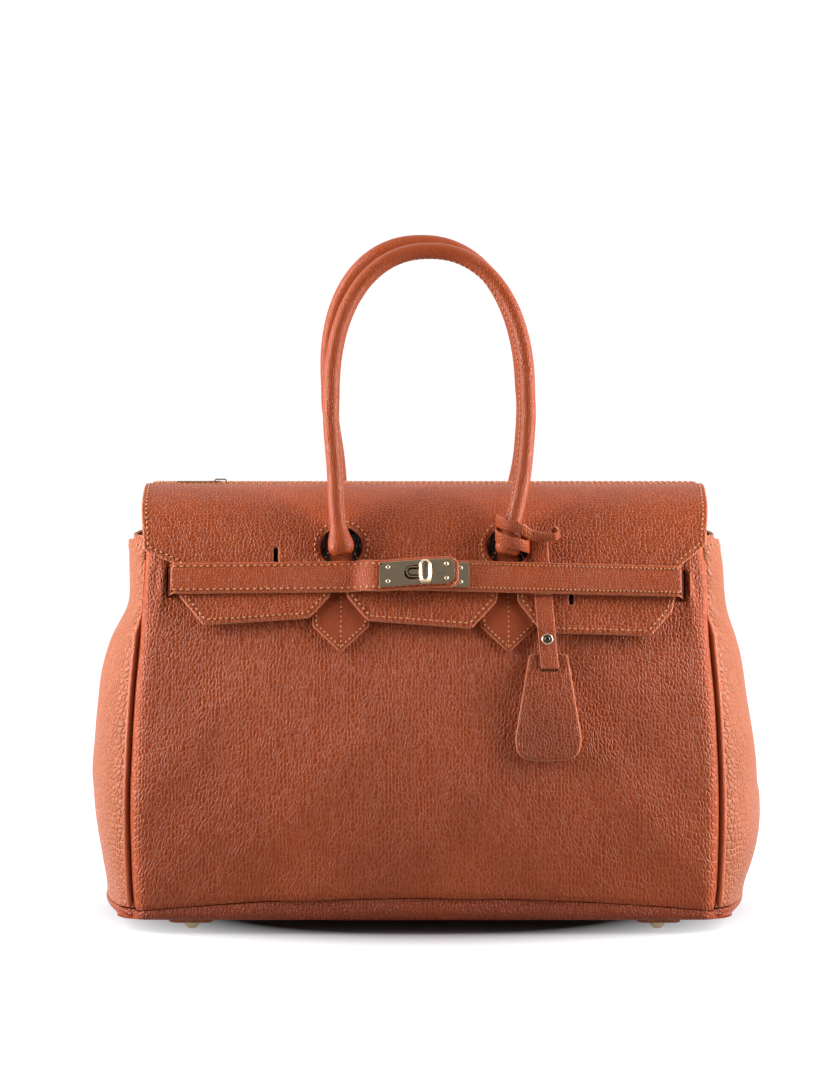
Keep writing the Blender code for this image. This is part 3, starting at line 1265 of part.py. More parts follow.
def tag_tie(finish, seat):
    """A band wound round the right leg of the front handle."""
    path = handle_path(FRONT_HANDLE_LEAN, FRONT)
    foot, above = path[2], path[4]
    up = (above - foot).normalized()
    side = up.orthogonal().normalized()
    other = up.cross(side)
    half = TIE_WIDTH * 0.5
    rings = []
    steps = round(TIE_TURNS * 14)
    for k in range(steps + 1):
        a = math.tau * TIE_TURNS * k / steps
        rise = TIE_START + TIE_PITCH * TIE_TURNS * k / steps
        inner = handle_radius(rise) + GAP * 2.0
        outer = inner + TIE_THICKNESS
        out = side * math.cos(a) + other * math.sin(a)
        ring = []
        for radius, lift in ((inner, -half), (outer, -half), (outer, half), (inner, half)):
            ring.append(foot + up * (rise + half + lift) + out * radius)
        rings.append(ring)
    ring_solid("tag_tie", rings, finish, seat)


def build():
    clear_scene()
    finishes = make_finishes()
    mouth_front = pivot_empty("mouth_front_axis", on_skin(0.0, FOLD_WALK, FLAP_HIGH))
    back_fold = on_skin(0.0, FOLD_WALK, FLAP_HIGH - back_drop(FOLD_WALK, BACK), BACK)
    mouth_back = pivot_empty("mouth_back_axis", back_fold)
    slider_seat = pivot_empty("zip_slider_axis", Vector((SLIDER_X, 0.0, BODY_HEIGHT)))
    pull_seat = pivot_empty("zip_pull_axis", Vector((SLIDER_X, 0.0, pull_pivot_height())))
    front_pivot = on_skin(KEYHOLE_X, PIVOT_WALK, HANDLE_OFFSET, FRONT)
    back_pivot = on_skin(KEYHOLE_X, PIVOT_WALK, HANDLE_OFFSET, BACK)
    front_seat = pivot_empty("front_handle_axis", Vector((0.0, front_pivot.y, front_pivot.z)))
    back_seat = pivot_empty("back_handle_axis", Vector((0.0, back_pivot.y, back_pivot.z)))
    left_seat = pivot_empty("strap_left_axis",
                            on_skin(STRAP_LEFT_SLIT_X, strap_walk(STRAP_LEFT_SLIT_X), 0.0))
    right_seat = pivot_empty("strap_right_axis",
                             on_skin(STRAP_RIGHT_SLIT_X, strap_walk(STRAP_RIGHT_SLIT_X), 0.0))
    knob_seat = pivot_empty("turn_knob_axis", on_skin(LOCK_X, LOCK_WALK, PLATE_LEFT_HIGH))
    hinge_walk = SKIN.walk_to_height(TAG_STRAP_HINGE_HEIGHT)
    tag_strap_seat = pivot_empty("tag_strap_axis", on_skin(TAG_STRAP_HINGE_X, hinge_walk, TAG_STRAP_HIGH))
    slot_walk = SKIN.walk_to_height(TAG_STRAP_LOW_HEIGHT)
    tag_seat = pivot_empty("tag_axis", on_skin(TAG_STRAP_LOW_X, slot_walk, TAG_OFFSET + TAG_THICKNESS))

    front_and_back_panels(finishes["leather"])
    gussets(finishes["leather"])
    piping(finishes["leather"])
    base_and_inside(finishes)
    lining_and_pocket(finishes["cloth"])
    flap_and_crowns(finishes["leather"], mouth_front, mouth_back)
    chapes(finishes["leather"])
    handles(finishes, front_seat, back_seat)
    belt(finishes, left_seat, right_seat)
    lock(finishes, knob_seat)
    zip_parts(finishes, mouth_front, mouth_back, slider_seat, pull_seat)
    tag_parts(finishes, tag_strap_seat, tag_seat, front_seat)


build()
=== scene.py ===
# Leather handbag: the looks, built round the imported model.
# Metres, +Z up, front towards -Y. Flat leather pieces are drawn in skin coordinates: x across the bag,
# s walked down its profile from the middle of the top, and an offset off the panel's outer face.

import math

import bmesh
import bpy
import numpy as np
from mathutils import Matrix, Vector
from mathutils.geometry import delaunay_2d_cdt


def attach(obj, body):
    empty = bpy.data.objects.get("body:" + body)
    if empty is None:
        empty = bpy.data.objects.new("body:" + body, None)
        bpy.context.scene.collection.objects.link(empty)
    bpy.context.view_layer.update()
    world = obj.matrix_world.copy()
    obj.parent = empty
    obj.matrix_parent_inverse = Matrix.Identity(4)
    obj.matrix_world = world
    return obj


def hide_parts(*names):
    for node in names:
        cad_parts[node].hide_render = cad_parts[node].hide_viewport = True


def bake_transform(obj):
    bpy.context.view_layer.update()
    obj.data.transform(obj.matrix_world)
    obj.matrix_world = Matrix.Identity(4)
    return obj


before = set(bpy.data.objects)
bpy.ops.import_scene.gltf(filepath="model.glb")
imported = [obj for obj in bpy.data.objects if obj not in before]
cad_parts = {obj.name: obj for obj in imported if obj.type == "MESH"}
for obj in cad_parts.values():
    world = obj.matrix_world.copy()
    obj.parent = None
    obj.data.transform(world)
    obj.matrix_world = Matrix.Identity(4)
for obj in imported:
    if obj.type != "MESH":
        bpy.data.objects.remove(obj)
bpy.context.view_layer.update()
scene = bpy.context.scene
print("frame loaded:", len(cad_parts), "solids")


# The bag's skin

bagShape = {
    "bodyHeight": 0.2440,
    "halfDepth": 0.0900,
    "panelHalfWidth": 0.1655,
    "sideSag": 0.0070,
    "cornerRadius": 0.0080,
    "gap": 0.0003,
    "panelThick": 0.0020,
    "chapeThick": 0.0022,
    "flapThick": 0.0022,
    "seamMiddle": 0.0210,
    "seamEnd": 0.0125,
    "waveDepth": 0.0007,
    "waveLength": 0.085,
}
profileShares = (
    (0.000, 1.000), (0.080, 1.000), (0.233, 0.994), (0.383, 0.973), (0.483, 0.945), (0.556, 0.910),
    (0.618, 0.869), (0.722, 0.779), (0.817, 0.689), (0.915, 0.550), (0.978, 0.405),
    (1.000, 0.254), (0.982, 0.123), (0.955, 0.047),
)
widthShares = ((0.04, 0.985), (0.12, 0.994), (0.30, 1.000), (0.53, 0.986), (0.72, 0.964), (0.96, 0.950))
sagShares = ((0.04, 0.55), (0.25, 0.85), (0.45, 1.00), (0.70, 0.60), (0.90, 0.28), (1.00, 0.00))
front, back = -1, 1


def smoothCurve(points, steps):
    # a Catmull-Rom line through the points, as rows of an array
    points = np.asarray(points, float)
    ends = np.vstack([points[0] * 2 - points[1], points, points[-1] * 2 - points[-2]])
    out = []
    for i in range(1, len(ends) - 2):
        a, b, c, d = ends[i - 1:i + 3]
        for k in range(steps):
            t = k / steps
            out.append(0.5 * (b * 2 + (c - a) * t + (a * 2 - b * 5 + c * 4 - d) * t ** 2
                              + (b * 3 - a - c * 3 + d) * t ** 3))
    out.append(points[-1])
    return np.array(out)


def shareOf(table, share):
    xs, ys = zip(*table)
    return np.interp(share, xs, ys)


def easeStep(value, start, end):
    t = np.clip((np.asarray(value, float) - start) / (end - start), 0, 1)
    return t * t * (3 - 2 * t)


def unitRows(rows):
    return rows / np.linalg.norm(rows, axis=1)[:, None]


profileLine = smoothCurve(np.array(profileShares) * (bagShape["halfDepth"], bagShape["bodyHeight"]), 14)
profileWalk = np.concatenate([[0], np.cumsum(np.linalg.norm(np.diff(profileLine, axis=0), axis=1))])
profileRun = unitRows(np.gradient(profileLine, axis=0))
profileOut = np.stack([-profileRun[:, 1], profileRun[:, 0]], axis=1)


def profileAt(s):
    depth, height = (np.interp(s, profileWalk, profileLine[:, k]) for k in (0, 1))
    outDepth, outHeight = (np.interp(s, profileWalk, profileOut[:, k]) for k in (0, 1))
    size = np.hypot(outDepth, outHeight)
    return depth, height, outDepth / size, outHeight / size


def walkToHeight(height, offset=0.0):
    levels = profileLine[:, 1] + profileOut[:, 1] * offset
    return np.interp(-np.asarray(height, float), -levels[8:], profileWalk[8:])


def walkTo(height, offset=0.0):
    return float(walkToHeight(height, offset))


def walkToDepth(depth, offset=0.0):
    depths = profileLine[:, 0] + profileOut[:, 0] * offset
    return np.interp(depth, depths[:120], profileWalk[:120])


def panelHalfWidth(height):
    return bagShape["panelHalfWidth"] * shareOf(widthShares, height / bagShape["bodyHeight"])


def sideSag(x, height):
    reach = x / bagShape["panelHalfWidth"]
    return bagShape["sideSag"] * shareOf(sagShares, height / bagShape["bodyHeight"]) * reach * reach


def seamHeight(x):
    reach = np.minimum(np.abs(x) / bagShape["panelHalfWidth"], 1)
    return bagShape["seamMiddle"] + (bagShape["seamEnd"] - bagShape["seamMiddle"]) * reach ** 2.2


def leatherWave(x, height, side):
    # slow rise and fall of the stuffed body, none at the fold of the top
    turn = math.tau / bagShape["waveLength"]
    wave = np.sin(x * turn + side * 0.7) * np.sin(height * turn * 1.1 + 0.6 + x * 9)
    wave = wave + 0.5 * np.sin(x * turn * 1.9 + 1.3) * np.cos(height * turn * 1.6)
    fade = 1 - easeStep(height, 0.150, 0.185)
    return bagShape["waveDepth"] * wave * fade


def onSkin(x, s, offset, side=front):
    x, s, offset = np.broadcast_arrays(np.asarray(x, float), np.asarray(s, float), np.asarray(offset, float))
    depth, height, outDepth, outHeight = profileAt(s)
    lift = offset + leatherWave(x, height, side)
    depth = depth + outDepth * lift - sideSag(x, height)
    return np.stack([x, side * depth, height + outHeight * lift], axis=-1)


def onPanel(across, s, offset, side):
    # as onSkin, but the panel's sides roll back round its corners
    radius = bagShape["cornerRadius"]
    across, s, offset = np.broadcast_arrays(across, s, offset)
    depth, height, outDepth, outHeight = profileAt(s)
    flat = panelHalfWidth(height) - radius
    run = np.abs(across) * (flat + radius * math.pi / 2)
    turn = np.clip((run - flat) / radius, 0, math.pi / 2)
    lift = offset + leatherWave(np.sign(across) * np.minimum(run, flat), height, side) * np.cos(turn)
    x = np.where(run < flat, run, flat + (radius + lift) * np.sin(turn))
    back = radius * (1 - np.cos(turn))
    depth = depth - sideSag(np.minimum(run, flat), height) - back + outDepth * lift * np.cos(turn)
    return np.stack([np.sign(across) * x, side * depth, height + outHeight * lift * np.cos(turn)], axis=-1)


def skinAxes(x, s, offset, side=front):
    # a frame on the skin: x across, y up the leather, z straight out of it
    _, _, outDepth, outHeight = profileAt(s)
    out = Vector((0, side * float(outDepth), float(outHeight))).normalized()
    across = Vector((1, 0, 0))
    turn = Matrix((across, out.cross(across), out)).transposed().to_4x4()
    return Matrix.Translation(Vector(onSkin(x, s, offset, side))) @ turn


# Offsets of the layers off the panel's outer face, each with its small gap
gap = bagShape["gap"]
chapeLow = gap
chapeHigh = chapeLow + bagShape["chapeThick"]
flapLow = chapeHigh + gap
flapHigh = flapLow + bagShape["flapThick"]
foldWalk = float(walkToDepth(0.0400, flapHigh))


# Mesh helpers

def placed(name, data):
    thing = bpy.data.objects.new(name, data)
    scene.collection.objects.link(thing)
    return thing


def newPiece(name, points, faces, finish, sharp=None, marks=None):
    mesh = bpy.data.meshes.new(name)
    mesh.from_pydata([tuple(map(float, p)) for p in points], [], [tuple(map(int, f)) for f in faces])
    if marks is not None:
        values = mesh.attributes.new("edge", "FLOAT", "POINT")
        values.data.foreach_set("value", np.asarray(marks, np.float32))
    shape = bmesh.new()
    shape.from_mesh(mesh)
    bmesh.ops.recalc_face_normals(shape, faces=shape.faces)
    shape.to_mesh(mesh)
    shape.free()
    mesh.materials.append(finish)
    mesh.shade_smooth()
    if sharp is not None:
        mesh.set_sharp_from_angle(angle=math.radians(sharp))
    return placed(name, mesh)


def dress(piece, body, slot, *nodes):
    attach(piece, body)
    if nodes:
        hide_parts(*nodes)


def dressAcross(piece, body, moving, start, end, slot, *nodes):
    if nodes:
        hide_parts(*nodes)
    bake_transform(piece)


def closed(loop):
    return np.vstack([loop, loop[:1]])


def resampled(loop, spacing):
    ends = closed(np.asarray(loop, float))
    out = []
    for a, b in zip(ends, ends[1:]):
        count = max(1, math.ceil(np.linalg.norm(b - a) / spacing))
        out += [a + (b - a) * k / count for k in range(count)]
    return np.array(out)


def loopArea(loop):
    x, y = loop[:, 0], loop[:, 1]
    return 0.5 * np.sum(x * np.roll(y, -1) - np.roll(x, -1) * y)


def turnedLeft(loop):
    return loop if loopArea(loop) > 0 else loop[::-1]


def insetLoop(loop, amount):
    # moves a loop towards the leather, which lies on its left
    ahead = np.roll(loop, -1, axis=0) - loop
    ahead /= np.maximum(np.linalg.norm(ahead, axis=1), 1e-9)[:, None]
    left = np.stack([-ahead[:, 1], ahead[:, 0]], axis=1)
    both = left + np.roll(left, 1, axis=0)
    size = np.maximum(np.sum(both * both, axis=1), 0.9)
    return loop + both * (2 * amount / size)[:, None]


def insideLoop(points, loop):
    hit = np.zeros(len(points), bool)
    for a, b in zip(loop, np.roll(loop, -1, axis=0)):
        if a[1] == b[1]:
            continue
        crosses = (a[1] > points[:, 1]) != (b[1] > points[:, 1])
        hit ^= crosses & (points[:, 0] < (b[0] - a[0]) * (points[:, 1] - a[1]) / (b[1] - a[1]) + a[0])
    return hit


def distanceToLoop(points, loop):
    best = np.full(len(points), 1.0)
    for a, b in zip(loop, np.roll(loop, -1, axis=0)):
        run = b - a
        t = np.clip(((points - a) @ run) / max(run @ run, 1e-12), 0, 1)
        best = np.minimum(best, np.linalg.norm(a + t[:, None] * run - points, axis=1))
    return best


def laidSheet(name, outline, holes, place, thick, finish, spacing, edge, support=0.0010, sharp=None):
    # a closed sheet with rounded edges; place(x, s, lift) puts a flat point at a height in its thickness
    loops = []
    for k, loop in enumerate([outline] + list(holes)):
        loop = resampled(loop, spacing)
        if (loopArea(loop) > 0) != (k == 0):
            loop = loop[::-1]
        loops.append(loop)
    edge = min(edge, thick * 0.48)
    inner = [insetLoop(loop, edge + support) for loop in loops]
    low, high = loops[0].min(axis=0), loops[0].max(axis=0)
    grid = []
    rowStep = spacing * 0.87
    for j in range(int((high[1] - low[1]) / rowStep) + 1):
        shift = spacing * 0.5 * (j % 2)
        count = int((high[0] - low[0]) / spacing) + 1
        grid += [(low[0] + shift + spacing * i, low[1] + rowStep * j) for i in range(count)]
    grid = np.array(grid)
    keep = insideLoop(grid, inner[0]) & (distanceToLoop(grid, inner[0]) > spacing * 0.5)
    for loop in inner[1:]:
        keep &= ~insideLoop(grid, loop) & (distanceToLoop(grid, loop) > spacing * 0.5)
    flat = np.vstack(inner + [grid[keep]])
    edges, start = [], 0
    for loop in inner:
        edges += [(start + k, start + (k + 1) % len(loop)) for k in range(len(loop))]
        start += len(loop)
    verts, _, faces, used, _, _ = delaunay_2d_cdt([Vector(p) for p in flat], edges, [], 0, spacing * 1e-5)
    verts = np.array([tuple(v) for v in verts])
    index = {source: k for k, sources in enumerate(used) for source in sources}
    middle = np.array([verts[list(face)].mean(axis=0) for face in faces])
    keep = insideLoop(middle, inner[0])
    for loop in inner[1:]:
        keep &= ~insideLoop(middle, loop)
    count = len(verts)
    flats = [verts, verts]
    lifts = [np.full(count, thick), np.zeros(count)]
    marks = [np.zeros(count), np.zeros(count)]
    solid = []
    for face, kept in zip(faces, keep):
        if kept:
            solid.append(tuple(face))
            solid.append(tuple(k + count for k in reversed(face)))
    steps = ((edge, thick, 0.0), (edge * 0.3, thick - edge * 0.3, 0.7), (0, thick - edge, 1.0),
             (0, edge, 1.0), (edge * 0.3, edge * 0.3, 0.7), (edge, 0, 0.0))
    total, start = count * 2, 0
    for loop in loops:
        size = len(loop)
        rings = [[index[start + k] for k in range(size)]]
        for inset, lift, mark in steps:
            flats.append(insetLoop(loop, inset) if inset else loop)
            lifts.append(np.full(size, lift))
            marks.append(np.full(size, mark))
            rings.append(list(range(total, total + size)))
            total += size
        rings.append([index[start + k] + count for k in range(size)])
        for a, b in zip(rings, rings[1:]):
            solid += [(a[k], a[(k + 1) % size], b[(k + 1) % size], b[k]) for k in range(size)]
        start += size
    flat, lift = np.vstack(flats), np.concatenate(lifts)
    points = place(flat[:, 0], flat[:, 1], lift)
    return newPiece(name, points, solid, finish, sharp, np.concatenate(marks))


def gridShell(name, outer, inner, finish, keep=None, sharp=None):
    # a closed shell between two matching grids of points; keep says which squares stay
    rows, columns = outer.shape[:2]
    count = rows * columns
    points = np.vstack([outer.reshape(-1, 3), inner.reshape(-1, 3)])
    faces, sides = [], {}
    for i in range(rows - 1):
        for j in range(columns - 1):
            if keep is not None and not keep[i, j]:
                continue
            a = i * columns + j
            ring = (a, a + 1, a + 1 + columns, a + columns)
            faces.append(ring)
            faces.append(tuple(k + count for k in reversed(ring)))
            for p, q in zip(ring, ring[1:] + ring[:1]):
                key = (min(p, q), max(p, q))
                sides[key] = None if key in sides else (p, q)
    for pair in sides.values():
        if pair:
            p, q = pair
            faces.append((q, p, p + count, q + count))
    used = sorted({k for face in faces for k in face})
    number = {k: n for n, k in enumerate(used)}
    faces = [tuple(number[k] for k in face) for face in faces]
    return newPiece(name, points[used], faces, finish, sharp)


def pathAxes(path):
    path = np.asarray(path, float)
    ahead = unitRows(np.gradient(path, axis=0))
    side = np.array(Vector(ahead[0]).orthogonal().normalized())
    sides = []
    for direction in ahead:
        side = side - direction * (side @ direction)
        side = side / np.linalg.norm(side)
        sides.append(side)
    sides = np.array(sides)
    return ahead, sides, np.cross(ahead, sides)


def tube(name, path, radii, finish, sides):
    # a round bar along a path
    _, across, other = pathAxes(path)
    turns = np.arange(sides) * math.tau / sides
    rings = []
    for k in range(len(path)):
        spoke = np.outer(np.cos(turns), across[k]) + np.outer(np.sin(turns), other[k])
        rings.append(path[k] + spoke * np.asarray(radii[k]).reshape(-1, 1))
    return skinRings(name, rings, finish)


def skinRings(name, rings, finish, sharp=None):
    # a closed skin over a row of rings, its ends capped
    size = len(rings[0])
    points = np.vstack(rings)
    faces = []
    for k in range(len(rings) - 1):
        a, b = k * size, (k + 1) * size
        faces += [(a + j, a + (j + 1) % size, b + (j + 1) % size, b + j) for j in range(size)]
    faces.append(tuple(range(size)))
    faces.append(tuple(range(len(points) - size, len(points))))
    return newPiece(name, points, faces, finish, sharp)


def lathe(name, profile, axes, finish, sides=40, sharp=35):
    rings = []
    for radius, height in profile:
        ring = [axes @ Vector((radius * math.cos(a), radius * math.sin(a), height))
                for a in (math.tau * k / sides for k in range(sides))]
        rings.append(np.array([tuple(p) for p in ring]))
    return skinRings(name, rings, finish, sharp)


def joined(name, pieces):
    # several meshes as one piece
    whole = bmesh.new()
    for piece in pieces:
        whole.from_mesh(piece.data)
    mesh = bpy.data.meshes.new(name)
    whole.to_mesh(mesh)
    whole.free()
    mesh.materials.append(pieces[0].data.materials[0])
    for piece in pieces:
        bpy.data.objects.remove(piece, do_unlink=True)
    return placed(name, mesh)


def arc(x, y, radius, steps, start, sweep):
    return [(x + radius * math.cos(start + sweep * k / steps), y + radius * math.sin(start + sweep * k / steps))
            for k in range(steps + 1)]


def roundedBox(x, y, width, height, radius, steps=5):
    out = []
    for right, up, start in ((1, 1, 0.0), (-1, 1, 0.25), (-1, -1, 0.5), (1, -1, 0.75)):
        out += arc(x + right * (width / 2 - radius), y + up * (height / 2 - radius), radius, steps,
                   math.tau * start, math.tau / 4)
    return np.array(out)


def roundSharp(loop, radius, steps=4):
    # rounds only the corners that turn by more than a quarter of a right angle
    out = []
    for a, b, c in zip(np.roll(loop, 1, axis=0), loop, np.roll(loop, -1, axis=0)):
        before, after = a - b, c - b
        sizeA, sizeC = np.linalg.norm(before), np.linalg.norm(after)
        bend = math.acos(float(np.clip(-(before @ after) / (sizeA * sizeC), -1, 1)))
        if bend < math.radians(22):
            out.append(b)
            continue
        reach = min(radius, sizeA * 0.45, sizeC * 0.45)
        p, q = b + before / sizeA * reach, b + after / sizeC * reach
        shares = [k / steps for k in range(steps + 1)]
        out += [p * (1 - t) ** 2 + b * 2 * t * (1 - t) + q * t * t for t in shares]
    return np.array(out)


def bandLoop(half, begin, end):
    return np.array([(-half, begin), (half, begin), (half, end), (-half, end)])


# Materials

def colour(red, green, blue):
    # a colour off a screen, as the linear values that shaders take
    return tuple(c / 12.92 if c <= 0.04045 else ((c + 0.055) / 1.055) ** 2.4
                 for c in (red / 255, green / 255, blue / 255))


def addNode(owner, kind, links=None, **settings):
    # a node in a material, a world or a geometry tree
    tree = getattr(owner, "node_tree", owner)
    node = tree.nodes.new(kind)
    for key, value in settings.items():
        setattr(node, key, value)
    for key, value in (links or {}).items():
        if isinstance(value, bpy.types.NodeSocket):
            tree.links.new(value, node.inputs[key])
        else:
            node.inputs[key].default_value = value
    return node


def mathNode(finish, operation, a, b=0.0, c=0.0):
    return addNode(finish, "ShaderNodeMath", {0: a, 1: b, 2: c}, operation=operation).outputs[0]


def mixNode(finish, share, a, b, mode="MIX"):
    links = {0: share, 6: (*a, 1) if isinstance(a, tuple) else a, 7: (*b, 1) if isinstance(b, tuple) else b}
    return addNode(finish, "ShaderNodeMix", links, data_type="RGBA", blend_type=mode).outputs[2]


def rangeNode(finish, value, low, high, toLow=0.0, toHigh=1.0, smooth=True):
    kind = "SMOOTHSTEP" if smooth else "LINEAR"
    links = {"Value": value, "From Min": low, "From Max": high, "To Min": toLow, "To Max": toHigh}
    return addNode(finish, "ShaderNodeMapRange", links, interpolation_type=kind).outputs["Result"]


def startFinish(name, **values):
    finish = bpy.data.materials.new(name)
    finish.use_nodes = True
    shader = finish.node_tree.nodes["Principled BSDF"]
    for key, value in values.items():
        shader.inputs[key.replace("_", " ")].default_value = value
    place = addNode(finish, "ShaderNodeTexCoord").outputs["Object"]
    return finish, shader, place


def endFinish(finish, shader, tint, height, strength, distance):
    # the colour and the relief into the shader
    bump = addNode(finish, "ShaderNodeBump", {"Height": height, "Strength": strength, "Distance": distance})
    finish.node_tree.links.new(tint, shader.inputs["Base Color"])
    finish.node_tree.links.new(bump.outputs["Normal"], shader.inputs["Normal"])
    return finish


def stretched(finish, place, x, y, z):
    # a pattern whose cells are x, y and z metres across
    links = {"Vector": place, "Scale": (1 / x, 1 / y, 1 / z)}
    return addNode(finish, "ShaderNodeMapping", links).outputs["Vector"]


def noiseNode(finish, vector, detail=2.0, rough=0.5, scale=1.0, distort=0.0):
    links = {"Vector": vector, "Scale": scale, "Detail": detail, "Roughness": rough, "Distortion": distort}
    return addNode(finish, "ShaderNodeTexNoise", links).outputs["Fac"]


leatherTones = {
    "tan": colour(163, 67, 26),
    "tanDeep": colour(150, 60, 24),
    "handleTan": colour(166, 76, 42),
    "edge": colour(208, 128, 90),
    # crease: paler than the hide, a painted highlight along the grain's creases
    "crease": colour(204, 116, 68),
    "shade": colour(22, 14, 14),
}


grain = {
    "driftCells": (0.005, 0.009, 1.0),
    "driftAcross": 0.0026,
    "driftDown": 0.0013,
    "flowPitch": 0.0019,
    "flowWidth": 0.45,
    "cutWidth": 0.15,
    "domeWidth": 0.4,
    "patchyCells": (0.006, 0.006, 0.006),
    "cloudCells": (0.05, 0.05, 0.07),
    "edgeShare": 0.85,
}


def leatherFinish(name, tone, deep, pebble=(0.0021, 0.0036), relief=0.00021, flow=0.6, gloss=0.40,
                  creaseHighlightShare=0.58, face="front"):
    # pebbled hide: rounded cells between creases that catch the light, and creases that wander down
    # the hide; the grain is laid across it, then down it over the top and the front or back
    finish, shader, place = startFinish(name, Roughness=gloss, Specular_IOR_Level=0.26)
    part = addNode(finish, "ShaderNodeSeparateXYZ", {0: place}).outputs
    if face == "round":
        size, cells = "3D", stretched(finish, place, pebble[0], pebble[0], pebble[1])
        wave = 1.0
    else:
        size = "2D"
        over, down = part["Y"], part["Z"]
        if face == "front":
            over = part["X"]
            down = mathNode(finish, "SUBTRACT", down, mathNode(finish, "ABSOLUTE", part["Y"]))
        where = addNode(finish, "ShaderNodeCombineXYZ", {0: over, 1: down}).outputs[0]
        drift = noiseNode(finish, stretched(finish, where, *grain["driftCells"]), 1.0, 0.45)
        over = mathNode(finish, "MULTIPLY_ADD", drift, grain["driftAcross"], over)
        turn = mathNode(finish, "MULTIPLY", over, math.pi / grain["flowPitch"])
        wave = mathNode(finish, "ABSOLUTE", mathNode(finish, "SINE", turn))
        down = mathNode(finish, "MULTIPLY_ADD", drift, grain["driftDown"], down)
        bent = addNode(finish, "ShaderNodeCombineXYZ", {0: over, 1: down}).outputs[0]
        cells = stretched(finish, bent, pebble[0], pebble[1], 1.0)
    border = addNode(finish, "ShaderNodeTexVoronoi", {"Vector": cells, "Scale": 1.0, "Randomness": 0.9},
                     feature="DISTANCE_TO_EDGE", voronoi_dimensions=size).outputs["Distance"]
    ridge = mathNode(finish, "MULTIPLY", rangeNode(finish, wave, 0.0, grain["flowWidth"], 1.0, 0.0), flow)
    cut = rangeNode(finish, border, 0.0, grain["cutWidth"], 1.0, 0.0)
    cut = mathNode(finish, "MULTIPLY", cut, 1.0 - 0.40 * flow)
    lines = mathNode(finish, "MAXIMUM", ridge, cut)
    dome = mathNode(finish, "SUBTRACT", rangeNode(finish, border, 0.0, grain["domeWidth"]), lines)
    patchy = noiseNode(finish, stretched(finish, place, *grain["patchyCells"]), 2.0, 0.6)
    lines = mathNode(finish, "MULTIPLY", lines, rangeNode(finish, patchy, 0.3, 0.6, 0.5, 1.0))
    cloud = noiseNode(finish, stretched(finish, place, *grain["cloudCells"]), 4.0, 0.6)
    tint = mixNode(finish, rangeNode(finish, cloud, 0.30, 0.70), deep, tone)
    # painted highlight: the creases are tinted paler, as of light caught on the pebbles' flanks
    tint = mixNode(finish, mathNode(finish, "MULTIPLY", lines, creaseHighlightShare), tint, leatherTones["crease"])
    worn = addNode(finish, "ShaderNodeAttribute", attribute_name="edge").outputs["Fac"]
    tint = mixNode(finish, mathNode(finish, "MULTIPLY", worn, grain["edgeShare"]), tint, leatherTones["edge"])
    # painted shade: the shade attribute mixes in the near-black shade tone
    shade = addNode(finish, "ShaderNodeAttribute", attribute_name="shade").outputs["Fac"]
    tint = mixNode(finish, shade, tint, leatherTones["shade"])
    return endFinish(finish, shader, tint, dome, 1.0, relief)


plating = {
    "cloudCells": (0.004, 0.004, 0.004),
    "rubCells": (0.0012, 0.0004, 0.00012),
    "glossDrop": 0.06,
    "cloudGloss": 0.14,
    "rubGloss": 0.08,
    "dimShare": 0.90,
    "relief": 0.00002,
}


def metalFinish(name, tone, gloss):
    # plated brass with faint rub marks
    finish, shader, place = startFinish(name, Metallic=1.0, Roughness=gloss)
    cloud = noiseNode(finish, stretched(finish, place, *plating["cloudCells"]), 3.0, 0.6)
    rub = noiseNode(finish, stretched(finish, place, *plating["rubCells"]), 2.0, 0.7)
    shine = mathNode(finish, "MULTIPLY_ADD", cloud, plating["cloudGloss"], gloss - plating["glossDrop"])
    shine = mathNode(finish, "MULTIPLY_ADD", rub, plating["rubGloss"], shine)
    tint = mixNode(finish, cloud, tuple(c * plating["dimShare"] for c in tone), tone)
    finish.node_tree.links.new(shine, shader.inputs["Roughness"])
    return endFinish(finish, shader, tint, rub, 0.15, plating["relief"])


def clothFinish(name, warp, weft, pitch):
    # woven cloth: two sets of yarns that cross over and under
    finish, shader, place = startFinish(name, Roughness=0.8, Sheen_Weight=0.25, Specular_IOR_Level=0.25)
    part = addNode(finish, "ShaderNodeSeparateXYZ", {0: place}).outputs
    turn = math.tau / pitch
    both = []
    for share, hand in ((1.0, 1.0), (0.7, -1.0)):
        run = mathNode(finish, "ADD", part["Z"], mathNode(finish, "MULTIPLY", part["Y"], share))
        run = mathNode(finish, "MULTIPLY_ADD", part["X"], hand, run)
        both.append(mathNode(finish, "SINE", mathNode(finish, "MULTIPLY", run, turn)))
    over = rangeNode(finish, mathNode(finish, "MULTIPLY", both[0], both[1]), -0.6, 0.6)
    return endFinish(finish, shader, mixNode(finish, over, warp, weft), over, 0.7, pitch * 0.2)


def threadFinish(name, tone, sheen=0.2):
    # waxed thread, its two strands laid across the stitch
    finish, shader, place = startFinish(name, Roughness=0.6, Sheen_Weight=sheen, Specular_IOR_Level=0.2)
    twist = noiseNode(finish, stretched(finish, place, 0.0006, 0.0006, 0.0006), 2.0, 0.6)
    tint = mixNode(finish, rangeNode(finish, twist, 0.3, 0.7), tuple(c * 0.7 for c in tone), tone)
    return endFinish(finish, shader, tint, twist, 0.8, 0.00012)


